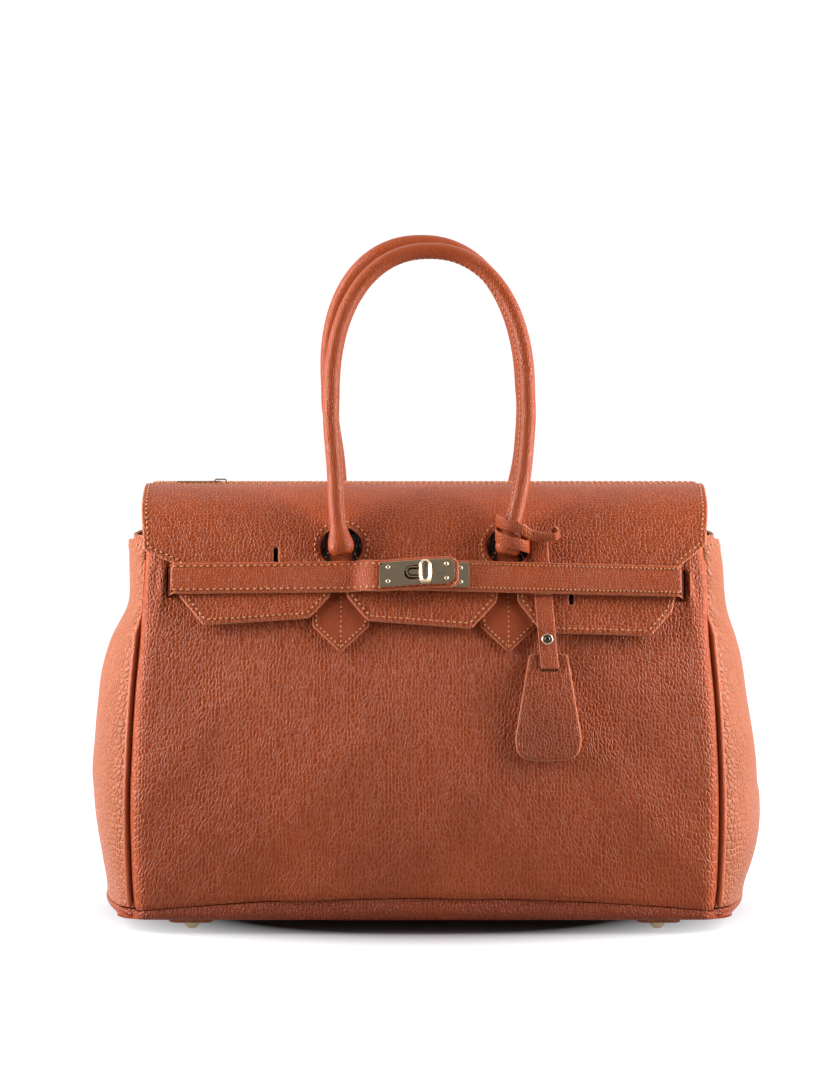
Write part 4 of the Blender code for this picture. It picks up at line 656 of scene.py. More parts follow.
tan, tanDeep = leatherTones["tan"], leatherTones["tanDeep"]
handleTan = leatherTones["handleTan"]
finishes = {
    "panel": leatherFinish("pebbled panel leather", tan, tanDeep),
    "flap": leatherFinish("pebbled flap leather", tan, tanDeep, (0.0021, 0.0031), 0.00018, 0.3),
    # the gusset's tone is paler and less red than the panel's: painted light, as of the side lamps falling on
    # it
    "gusset": leatherFinish("pebbled gusset leather painted paler", colour(166, 92, 62), colour(156, 84, 54),
                            (0.0022, 0.0034), 0.00032, 0.4, face="side"),
    "tag": leatherFinish("pebbled tag leather", tanDeep, colour(138, 58, 28), (0.0018, 0.0026),
                         0.00017, 0.0, 0.40, 0.45),
    "base": leatherFinish("base leather", tanDeep, colour(140, 57, 30), (0.0019, 0.0026), 0.0002, 0.2,
                          0.36, 0.35),
    "smooth": leatherFinish("fine grained leather", tan, tanDeep, (0.0011, 0.0014), 0.00008, 0.0,
                            0.36, 0.15),
    "belt": leatherFinish("belt leather", handleTan, tan, (0.0016, 0.0022), 0.00011, 0.0, 0.40, 0.25),
    "handle": leatherFinish("handle leather", handleTan, tan, (0.0014, 0.0024), 0.00007, 0.0,
                            0.30, 0.12, "round"),
    # the piping's tone is paler than the handle leather: painted light on a roll that sits in the gusset's
    # shade
    "piping": leatherFinish("piping leather painted paler", colour(186, 92, 54), handleTan, (0.0014, 0.0024),
                            0.00006, 0.0, 0.28, 0.12, "round"),
    "patch": leatherFinish("foot patch leather", colour(140, 58, 50), colour(120, 48, 42),
                           (0.0014, 0.0014), 0.00015, 0.0, 0.5, 0.0, "round"),
    "facing": leatherFinish("facing leather", tan, tanDeep, (0.0013, 0.0016), 0.0001, 0.0, 0.36, 0.2,
                            "round"),
    "gold": metalFinish("pale gold plate", (0.85, 0.66, 0.44), 0.17),
    "blackDome": metalFinish("black rivet dome", (0.10, 0.08, 0.06), 0.17),
    "lining": clothFinish("lining cloth", colour(150, 84, 62), colour(122, 64, 48), 0.0009),
    "tape": clothFinish("zip tape cloth", colour(120, 66, 48), colour(92, 48, 36), 0.0007),
    "thread": threadFinish("ochre thread", colour(232, 158, 104)),
    # dark beads for the needle holes: painted shade
    "hole": threadFinish("painted needle hole shade", colour(66, 28, 18), 0.0),
    "board": clothFinish("fibre board", colour(120, 96, 70), colour(104, 82, 60), 0.0012),
    "cord": clothFinish("core cord", colour(196, 176, 140), colour(170, 150, 116), 0.0009),
}
print("finishes made:", len(finishes))


# Stitches and zip teeth, made by Geometry Nodes: a path is cut into even steps, a piece laid at each

def startTree(name, sizes, looks):
    # a tree with a named input for each size and finish; gives its inputs and the path
    tree = bpy.data.node_groups.new(name, "GeometryNodeTree")
    sockets = {}

    def socket(label, kind):
        made = tree.interface.new_socket(label, in_out="INPUT", socket_type="NodeSocket" + kind)
        sockets[label] = made.identifier
        return made

    socket("Geometry", "Geometry")
    for label, value in sizes.items():
        socket(label, "Float").default_value = value
    for label in looks:
        socket(label, "Material")
    tree.interface.new_socket("Geometry", in_out="OUTPUT", socket_type="NodeSocketGeometry")
    given = addNode(tree, "NodeGroupInput").outputs
    line = addNode(tree, "GeometryNodeMeshToCurve", {"Mesh": given["Geometry"]}).outputs["Curve"]
    return tree, sockets, given, line


def spotsAlong(tree, line, pitch):
    links = {"Curve": line, "Length": pitch}
    return addNode(tree, "GeometryNodeCurveToPoints", links, mode="LENGTH").outputs


def laidOut(tree, spots, shape, look, **turned):
    # copies of a shape at the spots, made real and given their finish
    links = {"Points": spots, "Instance": shape, **turned}
    lay = addNode(tree, "GeometryNodeInstanceOnPoints", links)
    real = addNode(tree, "GeometryNodeRealizeInstances", {"Geometry": lay.outputs["Instances"]})
    links = {"Geometry": real.outputs["Geometry"], "Material": look}
    return addNode(tree, "GeometryNodeSetMaterial", links).outputs["Geometry"]


def stitchTree():
    # a short thread in each step, and between two of them a dark bead, the painted shade of a needle hole
    sizes = {"Pitch": 0.0035, "Length": 0.0024, "Radius": 0.0004, "Hole": 0.0004}
    tree, sockets, given, line = startTree("stitch row", sizes, ("Finish", "Hole finish"))
    spots = spotsAlong(tree, line, given["Pitch"])
    thread = addNode(tree, "GeometryNodeMeshIcoSphere", {"Subdivisions": 2}).outputs["Mesh"]
    half = mathNode(tree, "MULTIPLY", given["Length"], 0.5)
    shape = addNode(tree, "ShaderNodeCombineXYZ", {"X": given["Radius"], "Y": given["Radius"], "Z": half})
    turn = addNode(tree, "FunctionNodeAlignRotationToVector", {"Vector": spots["Tangent"]}, axis="Z")
    sewn = laidOut(tree, spots["Points"], thread, given["Finish"], Rotation=turn.outputs["Rotation"],
                   Scale=shape.outputs["Vector"])
    start = mathNode(tree, "MULTIPLY", given["Pitch"], 0.5)
    between = addNode(tree, "GeometryNodeTrimCurve", {"Curve": line, 4: start, 5: 100.0}, mode="LENGTH")
    gaps = spotsAlong(tree, between.outputs["Curve"], given["Pitch"])
    hole = addNode(tree, "GeometryNodeMeshIcoSphere", {"Subdivisions": 1, "Radius": given["Hole"]})
    pierced = laidOut(tree, gaps["Points"], hole.outputs["Mesh"], given["Hole finish"])
    both = addNode(tree, "GeometryNodeJoinGeometry", {"Geometry": sewn})
    tree.links.new(pierced, both.inputs["Geometry"])
    addNode(tree, "NodeGroupOutput", {"Geometry": both.outputs["Geometry"]})
    return tree, sockets


def toothTree():
    # small square teeth
    sizes = {"Pitch": 0.002, "Length": 0.001, "Width": 0.002, "Height": 0.002}
    tree, sockets, given, line = startTree("zip teeth", sizes, ("Finish",))
    links = {"X": given["Length"], "Y": given["Width"], "Z": given["Height"]}
    shape = addNode(tree, "ShaderNodeCombineXYZ", links).outputs["Vector"]
    block = addNode(tree, "GeometryNodeMeshCube", {"Size": shape}).outputs["Mesh"]
    teeth = laidOut(tree, spotsAlong(tree, line, given["Pitch"])["Points"], block, given["Finish"])
    addNode(tree, "NodeGroupOutput", {"Geometry": teeth})
    return tree, sockets


stitchRow, toothRow = stitchTree(), toothTree()


def grownPiece(name, paths, row, values):
    # runs a node tree over paths of points, and keeps what it makes as a plain mesh
    tree, sockets = row
    points, edges = [], []
    for path in paths:
        start = len(points)
        points += [tuple(map(float, p)) for p in path]
        edges += [(k, k + 1) for k in range(start, len(points) - 1)]
    mesh = bpy.data.meshes.new(name)
    mesh.from_pydata(points, edges, [])
    piece = placed(name, mesh)
    grow = piece.modifiers.new("grow", "NODES")
    grow.node_group = tree
    for key, value in values.items():
        grow[sockets[key]] = value
    depsgraph = bpy.context.evaluated_depsgraph_get()
    grown = bpy.data.meshes.new_from_object(piece.evaluated_get(depsgraph))
    piece.modifiers.remove(grow)
    piece.data = grown
    bpy.data.meshes.remove(mesh)
    grown.shade_smooth()
    return piece


def shadeNear(piece, spots, border=0.0):
    # painted shade at the bottom of cut holes: discs in the plane that faces the front; and
    # painted shade along the upright edges that turn in beside the piping
    spread = piece.data.attributes.new("shade", "FLOAT", "POINT")
    for k, vertex in enumerate(piece.data.vertices):
        x, z = vertex.co.x, vertex.co.z
        depths = [1 - easeStep(math.hypot((x - spotX) / wide, (z - spotZ) / tall), 0.86, 1.04)
                  for spotX, spotZ, wide, tall in spots]
        if border:
            inset = float(panelHalfWidth(z)) - abs(x)
            depths.append(0.8 * (1 - easeStep(inset, 0.0, border)) * easeStep(-z, -0.176, -0.160))
        spread.data[k].value = float(max(depths, default=0.0))


def stitches(name, paths, pitch, share=0.60, radius=0.00046):
    values = {"Pitch": pitch, "Length": pitch * share, "Radius": radius, "Hole": radius * 0.9,
              "Finish": finishes["thread"], "Hole finish": finishes["hole"]}
    return grownPiece(name, paths, stitchRow, values)


# Front and back panels

def smoothedShares(table):
    # the share tables drawn as smooth curves, so that the hide has no corners
    line = smoothCurve(table, 8)
    order = np.argsort(line[:, 0])
    return tuple(map(tuple, line[order]))


widthShares, sagShares = smoothedShares(widthShares), smoothedShares(sagShares)
panelSizes = {
    "topMargin": 0.0015,
    "fixedHalf": 0.1495,       # inside this the columns keep their width at every height
    "columnWidth": 0.0024,
    "rowHeight": 0.0024,
    "slitLeft": (-0.1440, 0.1968),
    "slitRight": (0.1455, 0.1947),
    "slitHalfWidth": 0.0015,
    "slitHalfLength": 0.0093,
    "edgeRound": 0.0008,
    "wrapShares": (0.2, 0.4, 0.55, 0.68, 0.79, 0.88, 0.95, 0.985, 1.0),
    "freeHeight": 0.170,       # below this the columns follow the arched seam
    "puckerHeight": 0.0017,
    # x, height, half width and half height of the painted shade under the flap's holes
    "shaded": ((-0.047, 0.217, 0.0126, 0.0132), (0.047, 0.217, 0.0126, 0.0132),
               (-0.0838, 0.2055, 0.0024, 0.0125), (0.0823, 0.1960, 0.0024, 0.0125)),
    # width of the painted shade along the panel's edges beside the piping
    "edgeShade": 0.0009,
    "puckerPitch": 0.0085,
    "puckerReach": 0.014,
}


def pucker(x, height):
    # upright folds where the belt's ends pull the panel, outside each slit
    lift = 0
    for (slit, level), hand in ((panelSizes["slitLeft"], -1), (panelSizes["slitRight"], 1)):
        away = (x - slit) * hand
        reach = panelSizes["puckerReach"]
        fade = np.exp(-((height - level) / (reach * 1.1)) ** 2) * np.exp(-(away / reach) ** 2)
        wave = np.cos((away / panelSizes["puckerPitch"] - 0.45 + (height - level) * 9) * math.tau)
        lift = lift + np.where(away > 0, easeStep(away, 0.001, 0.005), 0) * fade * wave
    return lift * panelSizes["puckerHeight"]


def cutColumns(low, high, step, marks):
    # even columns, with extra ones at the marks
    spots = sorted([low, high] + list(marks))
    out = [spots[0]]
    for a, b in zip(spots, spots[1:]):
        count = max(1, round((b - a) / step))
        out += [a + (b - a) * k / count for k in range(1, count + 1)]
    return np.array(out)


def makePanel(name, side):
    sizes = panelSizes
    fixed, radius = sizes["fixedHalf"], bagShape["cornerRadius"]
    slits = [sizes["slitLeft"], sizes["slitRight"]] if side == front else []
    marks = [x + hand * sizes["slitHalfWidth"] for x, _ in slits for hand in (-1, 1)]
    inner = cutColumns(-fixed, fixed, sizes["columnWidth"], marks)
    wrap = np.array(sizes["wrapShares"])
    top = foldWalk + sizes["topMargin"]
    long = sizes["slitHalfLength"]
    walks = [walkTo(level) + hand * long for _, level in slits for hand in (-1, 1)]
    rows = cutColumns(top, walkTo(bagShape["seamEnd"]), sizes["rowHeight"], walks)
    run = np.concatenate([-(1 + wrap[::-1]), inner / fixed, 1 + wrap])
    columns, walked = np.meshgrid(run, rows)
    for _ in range(3):
        # the arched seam shortens each column below the slits
        height = profileAt(walked)[1]
        flat = panelHalfWidth(height) - radius
        whole = flat + radius * math.pi / 2
        reach = np.abs(columns)
        metres = np.where(reach <= 1, reach * fixed, fixed + (reach - 1) * (whole - fixed))
        x = np.sign(columns) * np.minimum(metres, flat + radius)
        free = walkToHeight(sizes["freeHeight"])
        seam = walkToHeight(seamHeight(x) + bagShape["gap"] / 2)
        base = rows[:, None] + 0 * columns
        share = np.clip((base - free) / (rows[-1] - free), 0, 1)
        walked = np.where(base > free, free + (seam - free) * share, base)
    across = np.sign(columns) * metres / whole
    height = profileAt(walked)[1]
    lift = pucker(x, height) if side == front else np.zeros_like(x)
    toEdge = np.minimum(seam - walked, walked - top)
    soft = sizes["edgeRound"]
    drop = soft - np.sqrt(np.maximum(soft ** 2 - np.clip(soft - toEdge, 0, soft) ** 2, 0))
    outer = onPanel(across, walked, lift - drop, side)
    inside = onPanel(across, walked, lift * 0.8 - bagShape["panelThick"], side)
    keep = np.ones((len(rows) - 1, len(run) - 1), bool)
    for slit, level in slits:
        middleX = (x[:-1, :-1] + x[1:, 1:]) / 2
        middleS = (walked[:-1, :-1] + walked[1:, 1:]) / 2
        inX = np.abs(middleX - slit) < sizes["slitHalfWidth"]
        keep &= ~(inX & (np.abs(middleS - walkTo(level)) < long))
    piece = gridShell(name, outer, inside, finishes["panel"], keep, 50)
    shadeNear(piece, sizes["shaded"] if side == front else (), sizes["edgeShade"])
    dress(piece, "bag_body", "pebbled_leather", name.replace("skin", "panel"))


makePanel("front_skin", front)
makePanel("back_skin", back)
print("panels made")


# Gussets, piping and base

gussetSizes = {
    "thick": 0.0016,
    "bulge": 0.0250,
    "crease": 0.0210,
    "rimHeight": 0.2200,
    "rimDip": 0.003,
    "creaseWidth": 0.26,
    "ripple": 0.0006,
    "bead": 0.0004,
    "beadDrop": (0.0065, 0.0050),
    "columns": 90,
    "rows": 120,
    "pipingRadius": 0.0020,
    "pipingTop": 0.208,
    "pipingEnd": (0.165, 0.180),
    "rimStitchDrop": 0.0036,
    "rimStitchPitch": 0.0036,
}
bulgeShares = {
    -1: ((0.02, 0.86), (0.05, 0.78), (0.09, 0.78), (0.135, 0.86), (0.185, 0.93), (0.23, 0.97), (0.30, 1.00),
         (0.335, 1.04), (0.37, 1.06), (0.46, 1.06), (0.52, 1.01), (0.60, 0.95), (0.66, 0.85), (0.70, 0.68),
         (0.735, 0.50), (0.77, 0.44), (0.84, 0.49), (0.90, 0.52)),
    1: ((0.02, 0.92), (0.05, 0.82), (0.09, 0.84), (0.135, 0.98), (0.185, 1.11), (0.23, 1.16), (0.28, 1.13),
        (0.32, 1.06), (0.37, 1.04), (0.46, 1.00), (0.52, 0.95), (0.60, 0.87), (0.66, 0.77), (0.72, 0.63),
        (0.77, 0.58), (0.84, 0.56), (0.90, 0.46)),
}
creaseShares = ((0.30, 0.0), (0.45, 0.10), (0.60, 0.34), (0.75, 0.70), (0.90, 1.0))


def edgeHalfDepth(height):
    depth = np.interp(walkToHeight(height), profileWalk, profileLine[:, 0])
    flat = panelHalfWidth(height) - bagShape["cornerRadius"]
    return depth - sideSag(flat, height) - bagShape["cornerRadius"]


def onGusset(t, height, hand):
    # t runs from the front seam to the back one
    sizes, tall = gussetSizes, bagShape["bodyHeight"]
    reach = edgeHalfDepth(height) - 2 * sizes["pipingRadius"] - 2 * gap
    swell = np.maximum(1 - np.abs(t) ** 2.4, 0) ** 0.62
    fold = np.exp(-(t / sizes["creaseWidth"]) ** 2) * swell
    bulge = sizes["bulge"] * shareOf(bulgeShares[hand], height / tall)
    x = panelHalfWidth(height) + sizes["thick"] / 2 + bulge * swell
    x = x - sizes["crease"] * shareOf(creaseShares, height / tall) * fold
    ripple = sizes["ripple"] * swell * np.sin(height * 95 + t * 2.2 * hand)
    x = x + ripple * (1 - easeStep(height, 0.16, 0.2))
    return np.stack([hand * x, t * reach, height + 0 * t], axis=-1)


def gussetRim(t):
    return gussetSizes["rimHeight"] - gussetSizes["rimDip"] * (1 - t * t)


bulgeShares = {hand: smoothedShares(table) for hand, table in bulgeShares.items()}
creaseShares = smoothedShares(creaseShares)


def makeGusset(name, hand):
    sizes = gussetSizes
    turn = np.linspace(-1, 1, sizes["columns"])
    t = np.sin(turn * math.pi / 2)[None, :]
    share = np.linspace(0, 1, sizes["rows"])[:, None]
    low = bagShape["seamEnd"] + gap
    height = low + (gussetRim(t) - low) * share
    t = t + 0 * share
    here = onGusset(t, height, hand)
    alongT = onGusset(np.minimum(t + 0.01, 1), height, hand) - onGusset(np.maximum(t - 0.01, -1), height, hand)
    alongH = onGusset(t, height + 0.001, hand) - onGusset(t, height - 0.001, hand)
    normal = np.cross(alongT, alongH)
    normal /= np.linalg.norm(normal, axis=2)[:, :, None]
    normal *= np.sign(normal[:, :, :1] * hand)
    # the rim is a little thicker where its edge is folded and sewn
    start, end = (gussetRim(t) - drop for drop in sizes["beadDrop"])
    bead = sizes["bead"] * easeStep(height, start, end)
    inner = here - normal * sizes["thick"]
    piece = gridShell(name, here + normal * bead[:, :, None], inner, finishes["gusset"], None, 60)
    dress(piece, "bag_body", "pebbled_leather", "gusset_" + name.split("_")[-1])
    path = []
    for k in range(81):
        t = np.array(math.sin(math.pi / 2 * (k / 40 - 1)) * 0.97)
        path.append(onGusset(t, gussetRim(t) - sizes["rimStitchDrop"], hand) + (hand * 0.0005, 0, 0))
    row = stitches(name + "_rim_stitches", [path], sizes["rimStitchPitch"])
    dress(row, "bag_body", "pebbled_leather")


makeGusset("side_left", -1)
makeGusset("side_right", 1)


def makePiping(name, side, hand):
    sizes = gussetSizes
    radius = sizes["pipingRadius"]
    heights = np.linspace(bagShape["seamEnd"] + radius, sizes["pipingTop"], 150)
    depth = side * (edgeHalfDepth(heights) + radius * 0.1 - gap)
    # towards the top the roll sinks into the fold beside it
    sunk = easeStep(heights, *sizes["pipingEnd"])
    out = panelHalfWidth(heights) + radius * (1.15 - 1.1 * sunk)
    path = np.stack([hand * out, depth, heights], axis=1)
    radii = radius * (1 + 0.035 * np.sin(heights * 900) * np.sin(heights * 210)) * (1 - 0.5 * sunk)
    ends = np.minimum(np.arange(150), np.arange(150)[::-1]) / 2
    radii *= np.sqrt(1 - np.clip(1 - (ends + 0.25) / 2, 0, 1) ** 2)
    dress(tube(name, path, radii, finishes["piping"], 14), "bag_body", "pebbled_leather", name)


for word, side in (("front", front), ("back", back)):
    for hand, other in ((-1, "left"), (1, "right")):
        makePiping("piping_%s_%s" % (word, other), side, hand)
print("sides made")

baseSizes = {
    "footHeight": 0.0048,
    "patchThick": 0.0022,
    "baseThick": 0.0020,
    "floorHalfWidth": 0.1745,
    "floorHalfDepth": 0.077,
    "cornerRadius": 0.016,
    "footX": 0.132,
    "footY": 0.062,
    "patchWidth": 0.025,
    "patchDepth": 0.026,
    "patchCorner": 0.004,
    "stitchInset": 0.002,
    "stitchPitch": 0.0032,
    "filletRings": 18,
    "filletPower": 0.6,
    # radius and height of the foot's turned dome, up to its shank
    "dome": ((0.0002, 0.0), (0.0020, 0.0), (0.0026, 0.0003), (0.0034, 0.0011), (0.0041, 0.0021),
             (0.0046, 0.0033), (0.00475, 0.0041), (0.00472, 0.0046)),
}
patchLow = baseSizes["footHeight"] + gap
baseLow = patchLow + baseSizes["patchThick"] + gap


def wallLoop(height, arched):
    # the plan of the bag's wall at a height
    radius = bagShape["cornerRadius"]
    flat = float(panelHalfWidth(height)) - radius
    whole = flat + radius * math.pi / 2
    runs = np.concatenate([np.linspace(0, flat / whole, 60), np.linspace(flat / whole, 1, 8)[1:]])
    quarter = onPanel(runs, walkToHeight(height), 0.0, front)
    t = np.sin(math.pi / 2 * (np.linspace(0, 1, 30) - 1))
    side = onGusset(t, np.full(30, height), 1)
    half = np.vstack([quarter, side])
    backHalf = half[-2::-1] * (1, -1, 1)
    right = np.vstack([half, backHalf])
    loop = np.vstack([right, (right[1:-1] * (-1, 1, 1))[::-1]])
    if arched:
        under = np.abs(loop[:, 0]) < flat + radius * 0.5
        loop[:, 2] = np.where(under, seamHeight(loop[:, 0]), height)
    return loop


def ontoPlate(points, halfX, halfY, radius):
    core = np.clip(points[:, :2], (radius - halfX, radius - halfY), (halfX - radius, halfY - radius))
    out = points[:, :2] - core
    return core + unitRows(out) * radius


def makeBase():
    sizes = baseSizes
    rim = wallLoop(bagShape["seamEnd"], True)
    rim[:, 2] -= gap / 2
    rings = []
    count = sizes["filletRings"]
    for wall, floor, order in ((0.0, baseLow, 1), (sizes["baseThick"], baseLow + sizes["baseThick"], -1)):
        foot = ontoPlate(rim, sizes["floorHalfWidth"] - wall, sizes["floorHalfDepth"] - wall,
                         sizes["cornerRadius"])
        top = rim[:, :2] + unitRows(foot - rim[:, :2]) * wall
        side = []
        for k in range(count):
            a = math.pi / 2 * k / (count - 1)
            plan = top + (foot - top) * (1 - abs(math.cos(a)) ** sizes["filletPower"])
            level = floor + (rim[:, 2] - floor) * (1 - math.sin(a) ** sizes["filletPower"])
            if k == 0 and wall == 0.0:
                # the seam's edge is rolled in
                level = level - 0.0001
                plan = plan + (foot - plan) * 0.05
            side.append(np.column_stack([plan, level]))
        for share in (0.92, 0.6, 0.3, 0.02):
            side.append(side[-1] * (share, share, 1))
        rings += side[::-1] if order > 0 else side
    piece = skinRings("base_skin", rings, finishes["base"], 60)
    dress(piece, "bag_body", "base_leather", "base_panel")


makeBase()


def makeFoot(place, x, y):
    sizes = baseSizes
    outline = roundedBox(x, y, sizes["patchWidth"], sizes["patchDepth"], sizes["patchCorner"])
    patch = laidSheet("foot_patch_skin_" + place, outline, [],
                      lambda u, v, lift: np.stack([u, v, patchLow + lift], axis=-1),
                      sizes["patchThick"], finishes["patch"], spacing=0.0016, edge=0.0008)
    dress(patch, "bag_body", "pebbled_leather", "foot_patch_" + place)
    seam = 2 * sizes["stitchInset"]
    inset = roundedBox(x, y, sizes["patchWidth"] - seam, sizes["patchDepth"] - seam, sizes["patchCorner"] * 0.7)
    path = [(u, v, patchLow + 0.0001) for u, v in closed(inset)]
    row = stitches("foot_patch_stitches_" + place, [path], sizes["stitchPitch"])
    dress(row, "bag_body", "pebbled_leather")
    seat = Matrix.Translation((x, y, 0))
    high = sizes["footHeight"]
    dome = [*sizes["dome"], (0.0045, high), (0.0018, high), (0.0018, patchLow + 0.0002),
            (0.0002, patchLow + 0.0002)]
    foot = lathe("foot_dome_" + place, dome, seat, finishes["gold"], 36, 50)
    dress(foot, "bag_body", "pale_gold")


for place, x, y in (("front_left", -1, -1), ("front_right", 1, -1), ("back_left", -1, 1), ("back_right", 1, 1)):
    makeFoot(place, baseSizes["footX"] * x, baseSizes["footY"] * y)
print("base made")


# Flap and back crown: the flap is one hide from the mouth, over the front edge and down into its tabs

flapSizes = {
    "halfWidth": 0.1580,
    "keyholeX": 0.047,
    "keyholeHeight": 0.217,
    "keyholeRadius": 0.012,
    "keyholeNeck": 0.0042,
    "slits": ((-0.0838, 0.2055), (0.0823, 0.1960)),
    "slitWidth": 0.0026,
    "slitLength": 0.0235,
    "cornerRound": 0.0022,
    "mouthHalfGap": 0.0060,
    "stitchInset": 0.0028,
    "stitchPitch": 0.0033,
    "backDrop": flapLow - gap,
    "foldStart": (0, -0.046, 0.236),
    "foldEnd": (0, -0.034, 0.240),
}
keyholeWalk = walkTo(flapSizes["keyholeHeight"], flapHigh)

# x and height of the flap's lower corners, from its middle to each side
tabSpots = {
    1: {"centre": ((0.0264, 0.1723), (0.0404, 0.187)), "notch": (0.0521, 0.187),
        "tab": ((0.0657, 0.1700), (0.1263, 0.1680), (0.1384, 0.1818), (0.1435, 0.2066)), "corner": 0.2180},
    -1: {"centre": ((0.0321, 0.1766), (0.0440, 0.190)), "notch": (0.0530, 0.190),
         "tab": ((0.0647, 0.1779), (0.1237, 0.1740), (0.1370, 0.1895), (0.1391, 0.2070)), "corner": 0.2152},
}


def flapOutline(corner):
    sizes = flapSizes

    def half(hand):
        spots = tabSpots[hand]
        neck = math.asin(sizes["keyholeNeck"] / sizes["keyholeRadius"])
        ring = arc(sizes["keyholeX"], keyholeWalk, sizes["keyholeRadius"], 40,
                   math.pi / 2 + neck, math.tau - neck * 2)
        low = [*spots["centre"], *ring, spots["notch"], *spots["tab"]]
        points = [(hand * x, y if 1 < k < 2 + len(ring) else walkTo(y, flapHigh))
                  for k, (x, y) in enumerate(low)]
        return points + [(hand * sizes["halfWidth"], walkTo(spots["corner"], flapHigh)),
                         (hand * sizes["halfWidth"], sizes["mouthHalfGap"])]

    loop = np.array(half(1) + half(-1)[::-1])
    return roundSharp(loop, corner) if corner else loop


def onFlap(x, s, lift):
    # the flap spreads a little towards its sides, most at the top; the tabs' free edges stand off
    # the panel between belt and tip
    wide = 0.0028 - 0.0018 * easeStep(s, foldWalk, keyholeWalk)
    x = x + np.sign(x) * easeStep(np.abs(x), 0.100, 0.158) * wide
    free = easeStep(s, walkTo(0.188), walkTo(0.166))
    curl = 0.0006 * free * (0.5 + 0.5 * np.cos(np.asarray(x) * 120 + 0.8))
    return onSkin(x, s, flapLow + lift + curl)


def makeFlap():
    sizes = flapSizes
    slits = []
    for slitX, level in sizes["slits"]:
        slits.append(roundedBox(slitX, walkTo(level, flapHigh), sizes["slitWidth"], sizes["slitLength"],
                                sizes["slitWidth"] * 0.48, 4))
    slits.append(np.array(arc(lockSizes["place"][0], lockWalk, lockSizes["hole"], 24, 0, math.tau)[:-1]))
    flap = laidSheet("flap_hide", flapOutline(sizes["cornerRound"]), slits, onFlap, bagShape["flapThick"],
                     finishes["flap"], spacing=0.0025, edge=0.0009)
    fold = ("bag_body", "mouth_front", sizes["foldStart"], sizes["foldEnd"], "pebbled_leather")
    dressAcross(flap, *fold, "flap", "flap_crown")
    inset = insetLoop(turnedLeft(flapOutline(0)), sizes["stitchInset"])
    fine = resampled(roundSharp(inset, 0.0012), 0.0016)
    row = onFlap(fine[:, 0], fine[:, 1], bagShape["flapThick"] + 0.00002)
    dressAcross(stitches("flap_stitches", [closed(row)], sizes["stitchPitch"]), *fold)


def backDrop(s, side):
    if side == front:
        return 0 * np.asarray(s)
    return flapSizes["backDrop"] * easeStep(s, flapSizes["mouthHalfGap"], foldWalk)


def onTop(x, s, offset, side):
    # the top leather and zip; at the back they come down onto the panel
    return onSkin(x, s, offset - backDrop(s, side), side)


def makeBackCrown():
    sizes = flapSizes
    low, high = sizes["mouthHalfGap"], foldWalk - gap / 2
    outline = bandLoop(sizes["halfWidth"], low, high)
    crown = laidSheet("back_crown_hide", roundSharp(outline, 0.001), [],
                      lambda x, s, lift: onTop(x, s, flapLow + lift, back), bagShape["flapThick"],
                      finishes["flap"], spacing=0.0028, edge=0.0009)
    dress(crown, "mouth_back", "pebbled_leather", "back_crown")
    loop = resampled(insetLoop(outline, sizes["stitchInset"]), 0.002)
    row = onTop(loop[:, 0], loop[:, 1], flapHigh + 0.00002, back)
    dress(stitches("back_crown_stitches", [closed(row)], sizes["stitchPitch"]), "mouth_back",
          "pebbled_leather")


# Belt, plates and lock

beltSizes = {
    "width": 0.0180,
    "thick": 0.0022,
    "crown": 0.0004,
    "ramp": 0.0016,
    "stepStart": -0.042,
    "stepEnd": -0.027,
    "endMargin": 0.0020,
    "chamfer": 0.0040,
    "stitchInset": 0.0022,
    "pitchLeft": 0.0037,
    "pitchRight": 0.0023,
    "rootLength": 0.0120,
    "rootThick": 0.0010,
    "bendLength": 0.007,
    # how far the strap reaches back into its slit, and the dip of its surface there
    "slack": 0.0002,
    "dip": 0.0022,
    "dipLength": 0.0012,
    # half width and half height of the painted shade where the strap goes into its slit
    "slitShade": (0.0011, 0.02),
    "slotSpare": 0.0006,
    "seamStart": 0.0035,
    "seamEnd": 0.6,
    # the left belt's end lies a little askew on the lock
    "askew": -0.062,
    "askewFrom": (-0.038, -0.024),
}
lockSizes = {
    "place": (0.0003, 0.2028),
    "plateThick": 0.0006,
    "plateHeight": 0.0144,
    "plateChamfer": 0.0030,
    "left": (-0.0253, 0.0170),
    "right": (-0.0150, 0.0250),
    "slot": (-0.0114, 0.0042),
    "slotHeight": 0.0082,
    "rivetInset": 0.0048,
    "rivetRise": 0.0041,
    "plateSpare": 0.0005,
    "wing": (0.0300, 0.0135),
    "hole": 0.0045,
    # the slot's rim and the island in it: how far each is off the slot, its holes, its share of the rise
    "boss": ((-0.0008, (-0.0016,), 1.0), (-0.0026, (), 0.93)),
    "knob": (0.0065, 0.0135, 0.0030),
    # radius and height of a rivet's head
    "rivet": ((0.00002, -0.0004), (0.0012, -0.0004), (0.0012, 0.00005), (0.00105, 0.00028),
              (0.0008, 0.00046), (0.0004, 0.00056), (0.00002, 0.0006)),
}
tagStrapThick = 0.0014
beltOnFlap = flapHigh + gap
rightStrapLow = beltOnFlap + tagStrapThick + gap
rightPlateLow = rightStrapLow + beltSizes["thick"] + gap
leftStrapLow = rightPlateLow + lockSizes["plateThick"] + gap + lockSizes["plateSpare"] + gap
leftPlateLow = leftStrapLow + beltSizes["thick"] + gap
leftPlateHigh = leftPlateLow + lockSizes["plateThick"]
lockWalk = walkTo(lockSizes["place"][1], leftStrapLow)


def beltWalk(x):
    # the walked distance of the belt's middle line, straight from the lock to each slit
    middle = lockSizes["place"][0]
    out = 0
    for slit, level in (panelSizes["slitLeft"], panelSizes["slitRight"]):
        walk = walkTo(level)
        line = lockWalk + (walk - lockWalk) * (x - middle) / (slit - middle)
        out = out + np.where((x < middle) == (slit < middle), line, 0)
    return out


